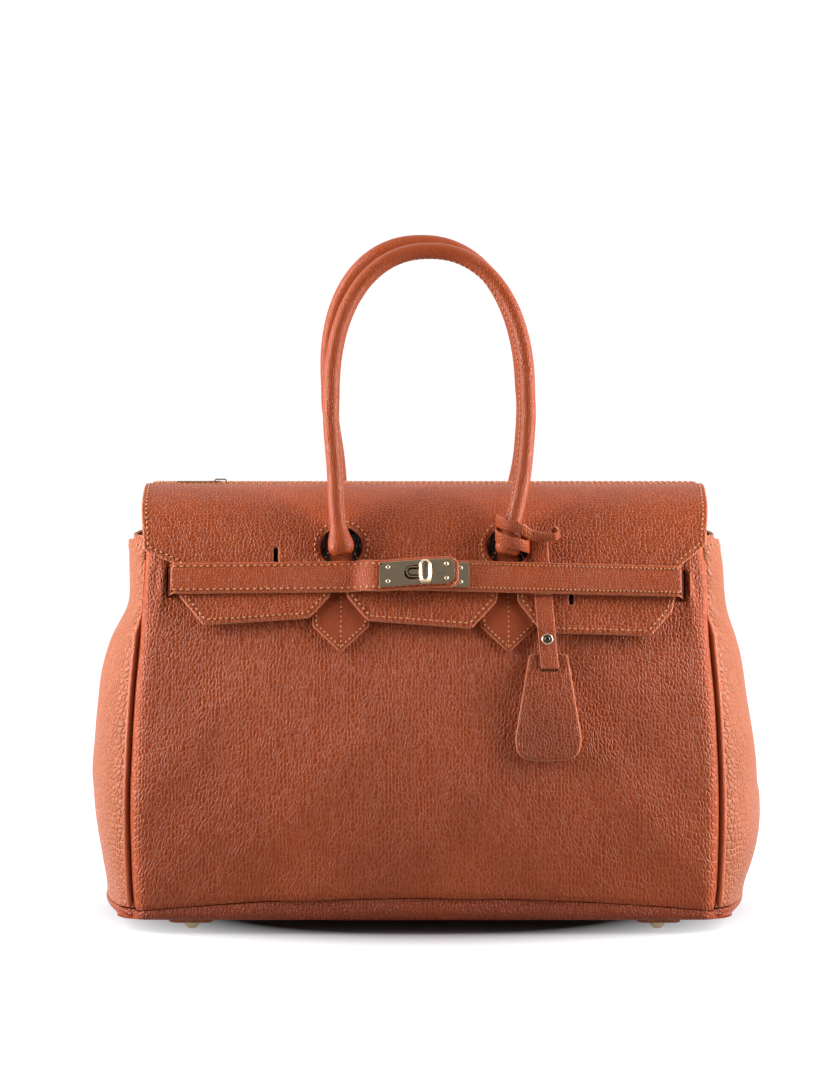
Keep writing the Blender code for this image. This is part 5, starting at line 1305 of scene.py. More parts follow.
def leftOffset(x):
    slit = panelSizes["slitLeft"][0]
    rise = easeStep(x, slit, slit + beltSizes["ramp"])
    step = easeStep(x, beltSizes["stepStart"], beltSizes["stepEnd"])
    return gap + (beltOnFlap - gap) * rise + (leftStrapLow - beltOnFlap) * step


def rightOffset(x):
    slit = panelSizes["slitRight"][0]
    return gap + (rightStrapLow - gap) * easeStep(-x, -slit, -slit + beltSizes["ramp"])


def plateTilt(x, word):
    return beltSizes["askew"] * x * easeStep(x, *beltSizes["askewFrom"]) if word == "left" else 0 * x


def slotLoop(grow):
    (low, high), tall = lockSizes["slot"], lockSizes["slotHeight"]
    radius = tall / 2 + grow
    left = arc(low - grow + radius, 0, radius, 10, math.pi / 2, math.pi)
    return np.array(left + arc(high + grow - radius, 0, radius, 10, -math.pi / 2, math.pi))


def bandOutline(start, end, half, chamfer):
    # a band from start to end, its far corners cut
    hand = 1 if end > start else -1
    cut = end - hand * chamfer
    return np.array([(start, -half), (cut, -half), (end, -half + chamfer), (end, half - chamfer),
                     (cut, half), (start, half)])


def makeBeltSide(word, hand, offsetAt, plateLow):
    sizes, lock = beltSizes, lockSizes
    plate = lock[word]
    body = "belt_" + word
    slit, slitHeight = panelSizes["slit" + word.capitalize()]
    half = sizes["width"] / 2
    far = plate[1] if hand > 0 else plate[0]
    end = far + hand * sizes["endMargin"]
    start = slit - hand * sizes["slack"]

    def place(x, v, lift):
        swell = sizes["crown"] * (1 - (np.asarray(v) / half) ** 2) * lift / sizes["thick"]
        dip = -sizes["dip"] * (1 - easeStep((x - slit) * hand, -sizes["slack"], sizes["dipLength"]))
        return onSkin(x, beltWalk(x) + v + plateTilt(x, word), offsetAt(x) + lift + swell + dip)

    outline = roundSharp(bandOutline(start, end, half, sizes["chamfer"]), 0.0010)
    strap = laidSheet("belt_leather_" + word, outline, [slotLoop(sizes["slotSpare"])], place,
                      sizes["thick"], finishes["belt"], spacing=0.0019, edge=0.0008)
    # painted shade on the strap where it dips into its slit
    shadeNear(strap, [(start, slitHeight, *sizes["slitShade"])])
    bend = [tuple(onSkin(slit + hand * run, beltWalk(slit), 0.0)) for run in (0.0, sizes["bendLength"])]
    dressAcross(strap, "bag_body", body, *bend, "pebbled_leather", "strap_" + word)
    rows = []
    for v in (-half + sizes["stitchInset"], half - sizes["stitchInset"]):
        x = np.linspace(slit + hand * sizes["seamStart"],
                        end - hand * (sizes["chamfer"] * sizes["seamEnd"]), 160)
        rows.append(place(x, np.full(160, v), np.full(160, sizes["thick"] + 0.00001)))
    seam = stitches("belt_stitches_" + word, rows, sizes["pitch" + word.capitalize()])
    dressAcross(seam, "bag_body", body, *bend, "pebbled_leather")
    plateSeat = plateLow + sizes["crown"] * 0.9

    def onPlate(x, v, lift):
        return onSkin(x, beltWalk(x) + v + plateTilt(x, word), plateSeat + lift)

    tall, cut = lock["plateHeight"] / 2, lock["plateChamfer"]
    shape = bandOutline(plate[0] if hand > 0 else plate[1], far, tall, cut)
    metal = laidSheet("lock_plate_" + word, roundSharp(shape, 0.0004, 2), [slotLoop(0.0)], onPlate,
                      lock["plateThick"], finishes["gold"], spacing=0.0030, edge=0.00045,
                      support=0.0003, sharp=30)
    dress(metal, body, "pale_gold", "plate_" + word)
    count = 0
    for x in (plate[0] + lock["rivetInset"], plate[1] - lock["rivetInset"]):
        for v in (-lock["rivetRise"], lock["rivetRise"]):
            count += 1
            walk = float(beltWalk(x) + plateTilt(x, word)) + v
            axes = skinAxes(x, walk, plateSeat + lock["plateThick"])
            rivet = lathe("plate_rivet_%s_%d" % (word, count), lock["rivet"], axes, finishes["gold"], 24, 60)
            dress(rivet, body, "pale_gold", "rivet_%s_%d" % (word, count))
    makeBeltRoot(word, slit, hand)


def makeBeltRoot(word, slit, hand):
    # the strap's sewn end, turned in through the slit and back along the panel's inner face
    sizes = beltSizes
    half = sizes["width"] / 2 - gap
    deep = -(bagShape["panelThick"] + gap + sizes["rootThick"] / 2)
    line = smoothCurve([(sizes["rootLength"], deep), (sizes["rootLength"] * 0.5, deep), (0.0016, deep),
                        (0.0001, deep * 0.62), (0.0, -0.0006), (0.0, -0.0001)], 5)
    run = unitRows(np.gradient(line, axis=0))
    side = np.stack([-run[:, 1], run[:, 0]], axis=1) * sizes["rootThick"] / 2
    section = np.vstack([line + side, (line - side)[::-1]])
    centre = float(beltWalk(slit))
    rings = [onSkin(slit + hand * section[:, 0], centre + v, section[:, 1])
             for v in np.linspace(-half, half, 9)]
    root = skinRings("belt_root_" + word, rings, finishes["smooth"], 50)
    dress(root, "bag_body", "pebbled_leather", "strap_root_" + word)


def makeLock():
    lock = lockSizes
    axes = skinAxes(lock["place"][0], lockWalk, 0.0)
    out = np.array(axes.to_3x3()).T

    def onLock(base):
        def place(x, y, lift):
            flat = np.stack(np.broadcast_arrays(x - lock["place"][0], y, base + lift), axis=-1)
            return flat @ out + np.array(axes.translation)
        return place

    wing = roundedBox(lock["place"][0], 0, *lock["wing"], 0.004)
    pieces = [laidSheet("lock_wing", wing, [], onLock(beltOnFlap), lock["plateThick"], finishes["gold"],
                        spacing=0.003, edge=0.0002, support=0.0003, sharp=30)]
    floor = beltOnFlap + lock["plateThick"] - 0.00005
    wall = leftPlateHigh + 0.0002 - floor
    for outer, holes, share in lock["boss"]:
        pieces.append(laidSheet("lock_boss", slotLoop(outer), [slotLoop(grow) for grow in holes], onLock(floor),
                                wall * share, finishes["gold"], spacing=0.002, edge=0.00018,
                                support=0.00015, sharp=30))
    boss = joined("lock_base_body", pieces)
    boss.data.shade_smooth()
    boss.data.set_sharp_from_angle(angle=math.radians(30))
    dress(boss, "bag_body", "pale_gold", "lock_base")
    wide, tall, thick = lock["knob"]
    base = leftPlateHigh + 0.0006
    shape = np.array([(wide / 2 * x, tall / 2 * y) for x, y in (
        (1, -0.62), (1, 0.62), (0.5, 1), (-0.5, 1), (-1, 0.62), (-1, -0.62), (-0.5, -1), (0.5, -1))])
    shape = roundSharp(shape, 0.0007, 3)
    rings = []
    for inset, rise in ((0.0009, 0.0), (0.0002, 0.0003), (0.0, 0.0006), (0.0, thick * 0.50),
                        (0.0003, thick * 0.56), (0.0014, thick * 0.98), (0.0017, thick), (0.0022, thick)):
        ring = insetLoop(shape, inset)
        rings.append(onLock(base)(ring[:, 0] + lock["place"][0], ring[:, 1], rise))
    knob = skinRings("turn_knob_body", rings, finishes["gold"], 24)
    dress(knob, "knob", "pale_gold", "turn_knob")


makeFlap()
makeBackCrown()
print("flap and crowns made")
makeBeltSide("left", 1, leftOffset, leftPlateLow)
makeBeltSide("right", -1, rightOffset, rightPlateLow)
makeLock()
print("belt and lock made")


# Chapes and handles

chapeSizes = {
    "halfWidth": 0.0160,
    "corner": 0.1735,
    "point": 0.1590,
    "shoulder": 0.2020,
    "top": 0.2180,
    "neckHalf": 0.0070,
    "seamDepth": 0.0004,
    "stitchInset": 0.0022,
    "stitchPitch": 0.0027,
}
handleSizes = {
    "radius": 0.0045,
    "rootRadius": 0.0061,
    "bulbWidth": 0.0074,
    "rootLength": 0.0045,
    "swellLength": 0.0150,
    "height": 0.1725,
    "halfWidth": {front: 0.0556, back: 0.0575},
    "archPower": 2.2,
    "archHeight": 0.0835,
    "seamRise": 0.0004,
    "seamWidth": 0.035,
    "seamFade": (0.004, 0.012),
    # the stitches beside the seam: where they begin, their way inwards and sideways, and their rise
    "stitchStart": 0.010,
    "stitchTilt": (0.90, 0.436),
    "stitchRise": 0.00022,
    "stitchPitch": 0.0033,
    "cordRadius": 0.0030,
    # the leg between its root and the arch: share of the spread, and shares of the straight height
    "legSpread": 0.55,
    "legRise": (0.32, 0.78),
    "shift": {front: (0.0027, 0.0), back: (0.0033, -0.0053)},
}
leans = {front: math.radians(16), back: math.radians(9)}
handleOffset = chapeHigh + gap + handleSizes["rootRadius"]
pivotWalk = walkTo(flapSizes["keyholeHeight"], handleOffset)


def makeChape(name, side, hand):
    sizes = chapeSizes
    middle = hand * flapSizes["keyholeX"]
    walk = {key: walkTo(sizes[key], chapeHigh) for key in ("top", "shoulder", "corner", "point")}
    neck, half = sizes["neckHalf"], sizes["halfWidth"]
    outline = np.array([(middle + x, walk[key]) for x, key in (
        (-neck, "top"), (neck, "top"), (half, "shoulder"), (half, "corner"), (0, "point"), (-half, "corner"),
        (-half, "shoulder"))])

    def place(x, s, lift):
        seam = sizes["seamDepth"] * np.exp(-((x - middle) / 0.0009) ** 2) * lift / bagShape["chapeThick"]
        return onSkin(x, s, chapeLow + lift - seam, side)

    chape = laidSheet(name + "_hide", roundSharp(outline, 0.0016), [], place, bagShape["chapeThick"],
                      finishes["smooth"], spacing=0.0015, edge=0.0008)
    if side == front:
        ringHeight, reach = flapSizes["keyholeHeight"], flapSizes["keyholeRadius"]
        shadeNear(chape, [(middle, ringHeight, reach * 1.05, reach * 1.1)])
        # painted shade inside the keyhole; the hide under the handle's root stays tan, so that the painted
        # shade shows as a ring beside it
        for k, vertex in enumerate(chape.data.vertices):
            away = float(easeStep(abs(vertex.co.x - middle), 0.0050, 0.0068))
            chape.data.attributes["shade"].data[k].value *= max(away, float(vertex.co.z > ringHeight))
    dress(chape, "bag_body", "pebbled_leather", name)
    loop = insetLoop(turnedLeft(outline), sizes["stitchInset"])
    loop = resampled(roundSharp(loop, 0.001), 0.0012)
    thick = np.full(len(loop), bagShape["chapeThick"] + 0.00002)
    rows = [closed(place(loop[:, 0], loop[:, 1], thick))]
    s = np.linspace(walk["shoulder"], walk["point"] - 0.0035, 40)
    rows.append(place(np.full(40, middle), s, np.full(40, thick[0])))
    dress(stitches(name + "_stitches", rows, sizes["stitchPitch"]), "bag_body", "pebbled_leather")


def handlePath(side):
    # up one leg, over the arch and down the other, leaning back from its pivots
    sizes = handleSizes
    seat = onSkin(flapSizes["keyholeX"], pivotWalk, handleOffset, side)
    start = sizes["height"] - sizes["archHeight"]
    wide = sizes["halfWidth"][side]
    spread = wide - flapSizes["keyholeX"]
    low, high = sizes["legRise"]
    leg = smoothCurve([(flapSizes["keyholeX"], 0.0),
                       (flapSizes["keyholeX"] + spread * sizes["legSpread"], start * low),
                       (wide, start * high), (wide, start)], 12)
    down = leg[0] - leg[1]
    down *= sizes["rootLength"] / np.linalg.norm(down)
    foot = [leg[0] + down * share for share in (1.0, 0.97, 0.9, 0.8, 0.65, 0.45, 0.22)]
    turns = np.linspace(0, math.pi / 2, 40)
    power = 2 / sizes["archPower"]
    top = np.stack([wide * np.maximum(np.cos(turns), 0) ** power,
                    start + sizes["archHeight"] * np.sin(turns) ** power], axis=1)[1:]
    half = np.vstack([foot, leg, top])
    flat = np.vstack([half, (half[:-1] * (-1, 1))[::-1]])
    rise = flat[:, 1]
    lean = leans[side]
    lift = easeStep(rise, 0.01, sizes["height"])
    x = flat[:, 0] + sizes["shift"][side][0] * easeStep(rise, 0.0, 0.05) + sizes["shift"][side][1] * lift
    return np.stack([x, seat[1] - side * rise * math.sin(lean), seat[2] + rise * math.cos(lean)], axis=1)


def makeHandle(word, side):
    sizes = handleSizes
    path = handlePath(side)
    ahead, across, other = pathAxes(path)
    walked = np.concatenate([[0], np.cumsum(np.linalg.norm(np.diff(path, axis=0), axis=1))])
    fromEnd = np.minimum(walked, walked[-1] - walked) - sizes["rootLength"]
    sides = 36
    turns = np.arange(sides) * math.tau / sides
    centre = path[:, (0, 2)].mean(axis=0)
    rings, seam = [], []
    for k in range(len(path)):
        up = fromEnd[k]
        below = math.sqrt(max(sizes["rootRadius"] ** 2 - min(up, 0) ** 2, 0)) / sizes["rootRadius"]
        swell = 1 - easeStep(up, 0.0, sizes["swellLength"])
        radius = (sizes["radius"] + (sizes["rootRadius"] - sizes["radius"]) * swell) * below
        wide = (sizes["radius"] + (sizes["bulbWidth"] - sizes["radius"])
                * (1 - easeStep(up, 0.0, sizes["swellLength"] * 0.9))) * below
        inward = np.array([-path[k][0], 0, centre[1] * 0.9 - path[k][2]])
        inward -= ahead[k] * (inward @ ahead[k])
        inward /= np.linalg.norm(inward)
        ring = []
        for turn in turns:
            spoke = across[k] * math.cos(turn) + other[k] * math.sin(turn)
            reach = radius + (wide - radius) * spoke[0] ** 2
            ridge = sizes["seamRise"] * math.exp(-((1 - spoke @ inward) / sizes["seamWidth"]))
            ridge = ridge * easeStep(up, *sizes["seamFade"])
            ring.append(path[k] + spoke * (reach + ridge))
        rings.append(np.array(ring))
        if up > sizes["stitchStart"]:
            lean = np.array([0, math.cos(leans[side]), -math.sin(leans[side]) * side])
            tilt = inward * sizes["stitchTilt"][0] - lean * -side * sizes["stitchTilt"][1]
            seam.append(path[k] + tilt / np.linalg.norm(tilt) * (radius + sizes["stitchRise"]))
    body = word + "_handle"
    piece = skinRings("handle_hide_" + word, rings, finishes["handle"])
    dress(piece, body, "handle_leather", "handle_" + word)
    inner = path[fromEnd > 0.004]
    cord = tube("handle_cord_" + word, inner, np.full(len(inner), sizes["cordRadius"]), finishes["cord"], 12)
    dress(cord, body, "core_cord", "handle_core_" + word)
    row = stitches("handle_stitches_" + word, [seam], sizes["stitchPitch"])
    dress(row, body, "handle_leather")


for word, side in (("front", front), ("back", back)):
    for hand, other in ((-1, "left"), (1, "right")):
        makeChape("chape_%s_%s" % (word, other), side, hand)
    makeHandle(word, side)
print("handles made")


# Tag, its strap and the lace round the handle

tagSizes = {
    "strapWidth": 0.0100,
    "strapTop": (0.0643, 0.2180),
    "strapHinge": (0.0665, 0.1880),
    "strapLow": (0.0700, 0.1492),
    "leave": 0.1690,
    "offset": 0.0018,
    "thick": 0.0024,
    "top": 0.1575,
    "low": 0.0990,
    "topHalf": 0.0108,
    "lowHalf": 0.0187,
    "lowX": 0.0690,
    "slotHeight": 0.0013,
    "rivetHeight": 0.1649,
    # radius and height of the rivet's ring and of its dark dome
    "ring": ((0.0002, -0.0008), (0.0032, -0.0008), (0.0033, 0.0001), (0.0030, 0.0006), (0.0025, 0.0008),
             (0.0021, 0.0006), (0.0019, 0.0002), (0.0002, 0.0002)),
    "dome": ((0.00002, 0.0002), (0.0018, 0.0002), (0.0017, 0.0007), (0.0013, 0.0012), (0.0007, 0.0015),
             (0.00002, 0.0016)),
    "tieWidth": 0.0067,
    "tieThick": 0.0011,
    "tieHalf": 0.0106,
    "tieReach": (0.0084, 0.0062),
    "tieShift": 0.0010,
    "tieTuck": 0.0014,
    "tieTaper": 0.42,
    "tieRagged": 0.00035,
    # half turns from the front of the lower turn, and the lace's height there
    "tieHeights": ((-0.62, 0.2262), (-0.5, 0.2254), (0.0, 0.2197), (0.5, 0.2163), (1.0, 0.2240),
                   (1.5, 0.2319), (2.0, 0.2288), (2.25, 0.2256)),
    "tieEnd": ((0.0600, -0.0652, 0.2238), (0.0645, -0.0645, 0.2228), (0.0690, -0.0643, 0.2224),
               (0.0730, -0.0640, 0.2227), (0.0752, -0.0624, 0.2236), (0.0752, -0.0604, 0.2249),
               (0.0733, -0.0592, 0.2260), (0.0716, -0.0592, 0.2264)),
}
footShares = ((1.00, 0.80), (0.93, 0.93), (0.70, 0.985), (0.35, 1.00), (-0.35, 1.00), (-0.70, 0.985),
              (-0.93, 0.93), (-1.00, 0.80))


def tagMiddle(height):
    spots = (tagSizes["strapLow"], tagSizes["strapHinge"], tagSizes["strapTop"])
    return np.interp(height, [spot[1] for spot in spots], [spot[0] for spot in spots])


def onTagStrap(x, s, lift):
    sizes = tagSizes
    low = sizes["offset"] + sizes["thick"] + gap
    height = profileAt(s)[1]
    share = easeStep(height, sizes["top"], sizes["leave"])
    cup = 0.0003 * ((x - tagMiddle(height)) / (sizes["strapWidth"] / 2)) ** 2
    lift = lift + 0.0020 * easeStep(height, 0.2122, 0.2155)
    return onSkin(x, s, low + (beltOnFlap - low) * share + lift - cup * (lift / tagStrapThick))


def makeTagStrap(name, low, high, body, node):
    sizes = tagSizes
    heights = np.linspace(high, low, 20)
    half = sizes["strapWidth"] / 2
    walked = walkToHeight(heights)
    right = np.stack([tagMiddle(heights) + half, walked], axis=1)
    left = np.stack([tagMiddle(heights) - half, walked], axis=1)[::-1]
    outline = roundSharp(np.vstack([right, left]), 0.0022)
    strap = laidSheet(name, outline, [], onTagStrap, tagStrapThick, finishes["belt"],
                      spacing=0.0016, edge=0.0006)
    dress(strap, body, "pebbled_leather", node)


def makeTag():
    sizes = tagSizes
    hinge = sizes["strapHinge"][1]
    makeTagStrap("tag_strap_hide_upper", hinge + gap / 2, sizes["strapTop"][1], "bag_body", "tag_strap_upper")
    makeTagStrap("tag_strap_hide", sizes["strapLow"][1], hinge - gap / 2, "tag_band", "tag_strap")
    rivetX, rivetWalk = float(tagMiddle(sizes["rivetHeight"])), walkTo(sizes["rivetHeight"])
    place = onTagStrap(np.array(rivetX), np.array(rivetWalk), tagStrapThick)
    axes = skinAxes(rivetX, rivetWalk, 0.0)
    axes.translation = Vector(place)
    ring = lathe("tag_rivet_ring", sizes["ring"], axes, finishes["gold"], 36, 60)
    dress(ring, "tag_band", "pale_gold", "tag_rivet")
    dome = lathe("tag_rivet_dome", sizes["dome"], axes, finishes["blackDome"], 36, 60)
    dress(dome, "tag_band", "pale_gold")
    top, low = walkTo(sizes["top"]), walkTo(sizes["low"])
    topX = float(tagMiddle(sizes["top"]))
    foot = [(sizes["lowX"] + sizes["lowHalf"] * x, top + (low - top) * drop) for x, drop in footShares]
    outline = np.array([(topX - sizes["topHalf"], top), (topX + sizes["topHalf"], top)] + foot)
    slotX, slotS = sizes["strapLow"][0], walkTo(sizes["strapLow"][1])
    slot = roundedBox(slotX, slotS + sizes["slotHeight"] / 2, sizes["strapWidth"], sizes["slotHeight"],
                      0.0009, 3)
    tag = laidSheet("tag_hide", roundSharp(outline, 0.0026), [slot],
                    lambda x, s, lift: onSkin(x, s, sizes["offset"] + lift), sizes["thick"], finishes["tag"],
                    spacing=0.0017, edge=0.0011)
    dress(tag, "tag_plate", "pebbled_leather", "tag")


def makeTie():
    # the tag's lace: nearly one and a half slanting turns round the right leg of the front handle,
    # then a loose end that runs out over the tag's strap and curls back
    sizes = tagSizes
    path = handlePath(front)
    right = path[:60] if path[0, 0] > 0 else path[::-1][:60]
    order = np.argsort(right[:, 2])
    turns, heights = np.array(sizes["tieHeights"]).T
    line, outward = [], []
    for turn in np.linspace(turns[0], turns[-1], 150):
        height = float(np.interp(turn, turns, heights))
        centre = [float(np.interp(height, right[order, 2], right[order, k])) for k in (0, 1)]
        out = np.array([math.sin(turn * math.pi), -math.cos(turn * math.pi)])
        tuck = sizes["tieTuck"] * (1 - float(easeStep(turn, -0.5, -0.3)))
        half = sizes["tieHalf"] - tuck
        reach = sizes["tieReach"][0 if out[1] < 0 else 1] - tuck
        line.append((centre[0] + sizes["tieShift"] + half * out[0], centre[1] + reach * out[1], height))
        outward.append((out[0] * reach, out[1] * half, 0.0))
    loose = smoothCurve([line[-1], *sizes["tieEnd"]], 8)[1:]
    ahead = np.gradient(loose, axis=0)
    wound = len(line)
    line += list(loose)
    outward += [(step[1], -step[0], 0.0) for step in ahead]
    half = sizes["tieThick"] / 2
    section = np.array([(-half, 0.47), (-half, 0.38), (-half, -0.46), (-half * 0.5, -0.5), (half * 0.5, -0.5),
                        (half, -0.46), (half, 0.38), (half, 0.47), (half * 0.5, 0.5), (-half * 0.5, 0.5)])
    rings = []
    for k, (spot, normal) in enumerate(zip(np.array(line), np.array(outward))):
        normal = normal / np.linalg.norm(normal)
        share = max(k - wound, 0) / len(loose)
        tall = sizes["tieWidth"] * (1 - sizes["tieTaper"] * float(easeStep(share, 0.0, 0.6)))
        ragged = sizes["tieRagged"] * (math.sin(k * 2.1) + math.sin(k * 3.7)) * min(share * 3, 1)
        rings.append(np.array([spot + normal * u + (0, 0, v * tall + ragged * (v > 0)) for u, v in section]))
    piece = skinRings("tag_tie_hide", rings, finishes["belt"], 60)
    edge = piece.data.attributes.new("edge", "FLOAT", "POINT")
    for k in range(min(len(edge.data), len(rings) * len(section))):
        ring, place = divmod(k, len(section))
        edge.data[k].value = float(ring > wound - 6 and section[place][1] > 0.4)
    dress(piece, "front_handle", "pebbled_leather", "tag_tie")


makeTag()
makeTie()
print("tag made")


# Zip, facings, lining and what stays inside

zipSizes = {
    "halfLength": 0.130,
    "tapeThick": 0.0007,
    "tapeReach": 0.022,
    "teethHalfGap": 0.0007,
    "tooth": (0.0011, 0.0021, 0.0019),
    "toothPitch": 0.0021,
    "facingHalf": 0.140,
    "facingThick": 0.0012,
    "facingSetback": 0.0006,
}
tapeHigh = flapLow - gap
tapeLow = tapeHigh - zipSizes["tapeThick"]


def makeTopStrip(name, side, halfLength, begin, end, low, thick, finish, body, slot, node):
    strip = laidSheet(name, roundSharp(bandLoop(halfLength, begin, end), 0.0008), [],
                      lambda x, s, lift: onTop(x, s, low + lift, side), thick, finish,
                      spacing=0.002, edge=0.0003)
    dress(strip, body, slot, node)


def makeZip():
    sizes = zipSizes
    long, wide = sizes["halfLength"], sizes["tooth"][1]
    for word, side in (("front", front), ("back", back)):
        body = "mouth_" + word
        reach = sizes["teethHalfGap"] + wide
        makeTopStrip("zip_tape_cloth_" + word, side, long, reach - 0.0006, sizes["tapeReach"], tapeLow,
                     sizes["tapeThick"], finishes["tape"], body, "zip_tape", "zip_tape_" + word)
        begin = flapSizes["mouthHalfGap"] + sizes["facingSetback"]
        makeTopStrip("zip_facing_hide_" + word, side, sizes["facingHalf"], begin, foldWalk - 4 * gap,
                     tapeLow - gap - sizes["facingThick"], sizes["facingThick"], finishes["facing"], body,
                     "pebbled_leather", "zip_facing_" + word)
        x = np.linspace(-long + 0.004, long - 0.004, 90)
        row = onTop(x, np.full(90, begin + 0.0030), tapeHigh + 0.00002, side)
        dress(stitches("zip_stitches_" + word, [row], 0.0030), body, "zip_tape")
        x = np.linspace(-long + 0.003, long - 0.003, 90) + (sizes["toothPitch"] / 2 if side == back else 0)
        line = onTop(x, np.full(90, sizes["teethHalfGap"] + wide / 2), (tapeLow + tapeHigh) / 2, side)
        values = {"Pitch": sizes["toothPitch"], "Length": sizes["tooth"][0], "Width": wide,
                  "Height": sizes["tooth"][2], "Finish": finishes["gold"]}
        dress(grownPiece("zip_teeth_" + word, [line], toothRow, values), body, "pale_gold")


liningSizes = {
    "inset": 0.0050,
    "thick": 0.0008,
    "rim": 0.2140,
    "floor": 0.0120,
    "ripple": 0.0005,
    "pocketHalf": 0.080,
    "pocketLow": 0.090,
    "pocketHigh": 0.170,
}


def makeLining():
    sizes = liningSizes
    heights = np.linspace(sizes["rim"], sizes["floor"] + 0.005, 60)
    rings = []
    for wall, order in ((0.0, 1), (sizes["thick"], -1)):
        side = []
        for height in heights:
            loop = wallLoop(height, False)
            ahead = np.roll(loop, -1, axis=0) - np.roll(loop, 1, axis=0)
            inward = unitRows(np.stack([-ahead[:, 1], ahead[:, 0]], axis=1))
            ripple = sizes["ripple"] * (1 + np.sin(np.arange(len(loop)) * 0.5 + height * 90))
            loop[:, :2] += inward * (sizes["inset"] + wall + ripple)[:, None]
            side.append(loop)
        edges = [baseSizes[key] - baseSizes["baseThick"] - sizes["inset"] - wall
                 for key in ("floorHalfWidth", "floorHalfDepth")]
        foot = ontoPlate(side[-1], *edges, baseSizes["cornerRadius"])
        side.append(np.column_stack([foot, np.full(len(foot), sizes["floor"] + wall)]))
        for share in (0.9, 0.5, 0.05):
            side.append(side[-1] * (share, share, 1))
        rings += side[::-1] if order > 0 else side
    dress(skinRings("lining_cloth", rings, finishes["lining"], 60), "bag_body", "lining_cloth", "lining")
    high, low = (walkTo(sizes[key]) for key in ("pocketHigh", "pocketLow"))
    outline = bandLoop(sizes["pocketHalf"], high, low)
    deep = -(sizes["inset"] + sizes["thick"] + 4 * gap) - sizes["thick"]
    pocket = laidSheet("pocket_cloth", roundSharp(outline, 0.004), [],
                       lambda x, s, lift: onSkin(x, s, deep + lift, back), sizes["thick"], finishes["lining"],
                       spacing=0.004, edge=0.0002)
    dress(pocket, "bag_body", "lining_cloth", "inner_pocket")


makeZip()
makeLining()
# what shows of these solids as it is keeps its form and gets a finish
keptSolids = {"base_board": "board", "lock_backplate": "gold", "zip_slider": "gold", "zip_pull": "gold"}
for node, kept in keptSolids.items():
    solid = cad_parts[node]
    for k in range(len(solid.material_slots)):
        solid.material_slots[k].material = finishes[kept]
print("zip and lining made")


# Camera, lights and floor

studio = {
    "camera": (-0.0026, -2.080, 0.390),
    "pitch": 4.795,
    "lens": 154.3,
    "sensor": 36.0,
    # place, aim, width, height and power of each lamp
    "lamps": {
        "left softbox": ((-1.0, -0.17, 0.45), (0, -0.05, 0.16), 0.55, 1.1, 25.5),
        "right softbox": ((1.0, -0.17, 0.45), (0, -0.05, 0.16), 0.55, 1.1, 25.5),
        "top softbox": ((0.0, 0.55, 1.4), (0, 0.0, 0), 2.6, 1.8, 4.0),
    },
    "ambient": 0.075,
    # what gloss sees: from and to on the generated or object Y, and the dim and bright ends
    "roomGloss": (-0.6, 0.5, 0.18, 1.0),
    "floorGloss": (-0.5, 0.0, 0.1, 0.8),
    "floorColour": (0.31, 0.29, 0.31),
    "floorBounce": (0.3, 0.3, 0.3),
    # the floor turns white between these distances from the bag, measured with X pressed together; nearer the
    # bag the camera sees the grey floor colour, a painted shadow
    "whiteFrom": (0.080, 0.145),
    "whiteStretch": (0.64, 1, 1),
    "floorFront": -3.6,
    "floorHalf": 6.0,
    "backdrop": (3.8, 2.4, 0.7),
}


def makeCamera():
    data = bpy.data.cameras.new("photo camera")
    data.lens = studio["lens"]
    data.sensor_width = studio["sensor"]
    data.sensor_fit = "HORIZONTAL"
    data.clip_end = 50
    camera = placed("photo camera", data)
    camera.location = studio["camera"]
    camera.rotation_euler = (math.radians(90 - studio["pitch"]), 0, 0)
    scene.camera = camera


def softbox(name, place, aim, width, height, power):
    data = bpy.data.lights.new(name, "AREA")
    data.shape = "RECTANGLE"
    data.size, data.size_y = width, height
    data.energy = power
    lamp = placed(name, data)
    lamp.location = place
    lamp.rotation_euler = (Vector(aim) - Vector(place)).to_track_quat("-Z", "Y").to_euler()


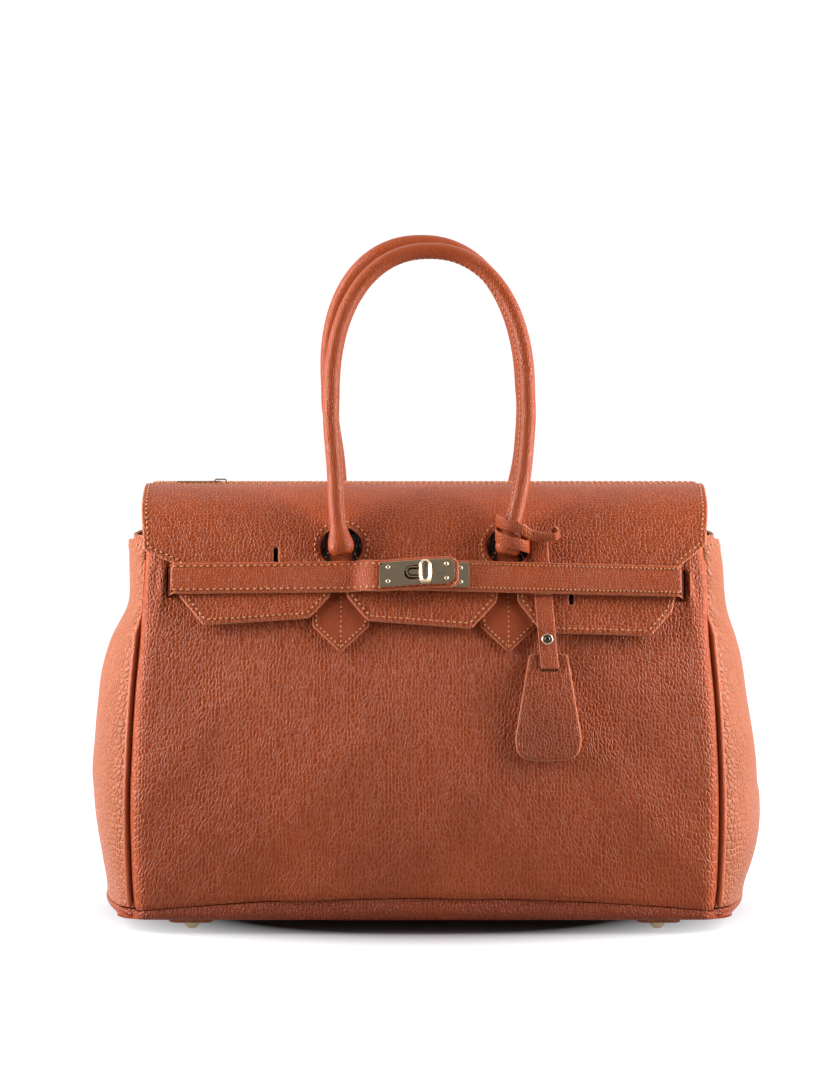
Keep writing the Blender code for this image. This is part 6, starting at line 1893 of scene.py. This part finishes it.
def seenShare(owner, place, gloss):
    # 1 for the camera and through clear things; for gloss dim in front and brighter behind
    path = addNode(owner, "ShaderNodeLightPath").outputs
    depth = addNode(owner, "ShaderNodeSeparateXYZ", {0: place}).outputs["Y"]
    seen = mathNode(owner, "MAXIMUM", path["Is Camera Ray"], path["Is Transmission Ray"])
    bright = rangeNode(owner, depth, *gloss, False)
    return mathNode(owner, "MAXIMUM", seen, mathNode(owner, "MULTIPLY", path["Is Glossy Ray"], bright))


def makeStudio():
    for name, lamp in studio["lamps"].items():
        softbox(name, *lamp)
    world = bpy.data.worlds.new("studio")
    world.use_nodes = True
    seen = seenShare(world, addNode(world, "ShaderNodeTexCoord").outputs["Generated"], studio["roomGloss"])
    shade = world.node_tree.nodes["Background"]
    level = mathNode(world, "MAXIMUM", seen, studio["ambient"])
    world.node_tree.links.new(level, shade.inputs["Strength"])
    shade.inputs["Color"].default_value = (1, 1, 1, 1)
    scene.world = world
    scene.view_settings.view_transform = "Standard"


def makeFloor():
    # a floor that sweeps up into a backdrop behind the bag; to the camera it is grey close to the bag,
    # a painted shadow round its foot that the real shadow darkens, and turns white further out
    far, high, bend = studio["backdrop"]
    line = [(studio["floorFront"], 0.0), (far - bend, 0.0)]
    line += arc(far - bend, bend, bend, 16, -math.pi / 2, math.pi / 2)[1:] + [(far, high)]
    points = [(x, y, z) for y, z in line for x in (-studio["floorHalf"], studio["floorHalf"])]
    faces = [(2 * k, 2 * k + 1, 2 * k + 3, 2 * k + 2) for k in range(len(line) - 1)]
    finish, shader, place = startFinish("pale floor", Roughness=0.9, Specular_IOR_Level=0.0)
    seen = seenShare(finish, place, studio["floorGloss"])
    tone = mixNode(finish, seen, studio["floorBounce"], studio["floorColour"])
    links = {0: place, 1: studio["whiteStretch"]}
    pressed = addNode(finish, "ShaderNodeVectorMath", links, operation="MULTIPLY").outputs["Vector"]
    away = addNode(finish, "ShaderNodeVectorMath", {0: pressed}, operation="LENGTH").outputs["Value"]
    white = mathNode(finish, "MULTIPLY", seen, rangeNode(finish, away, *studio["whiteFrom"], smooth=False))
    shader.inputs["Emission Color"].default_value = (1, 1, 1, 1)
    for value, key in ((tone, "Base Color"), (white, "Emission Strength")):
        finish.node_tree.links.new(value, shader.inputs[key])
    mesh = bpy.data.meshes.new("floor")
    mesh.from_pydata(points, [], faces)
    mesh.materials.append(finish)
    mesh.shade_smooth()
    floor = placed("floor", mesh)


makeCamera()
makeStudio()
makeFloor()
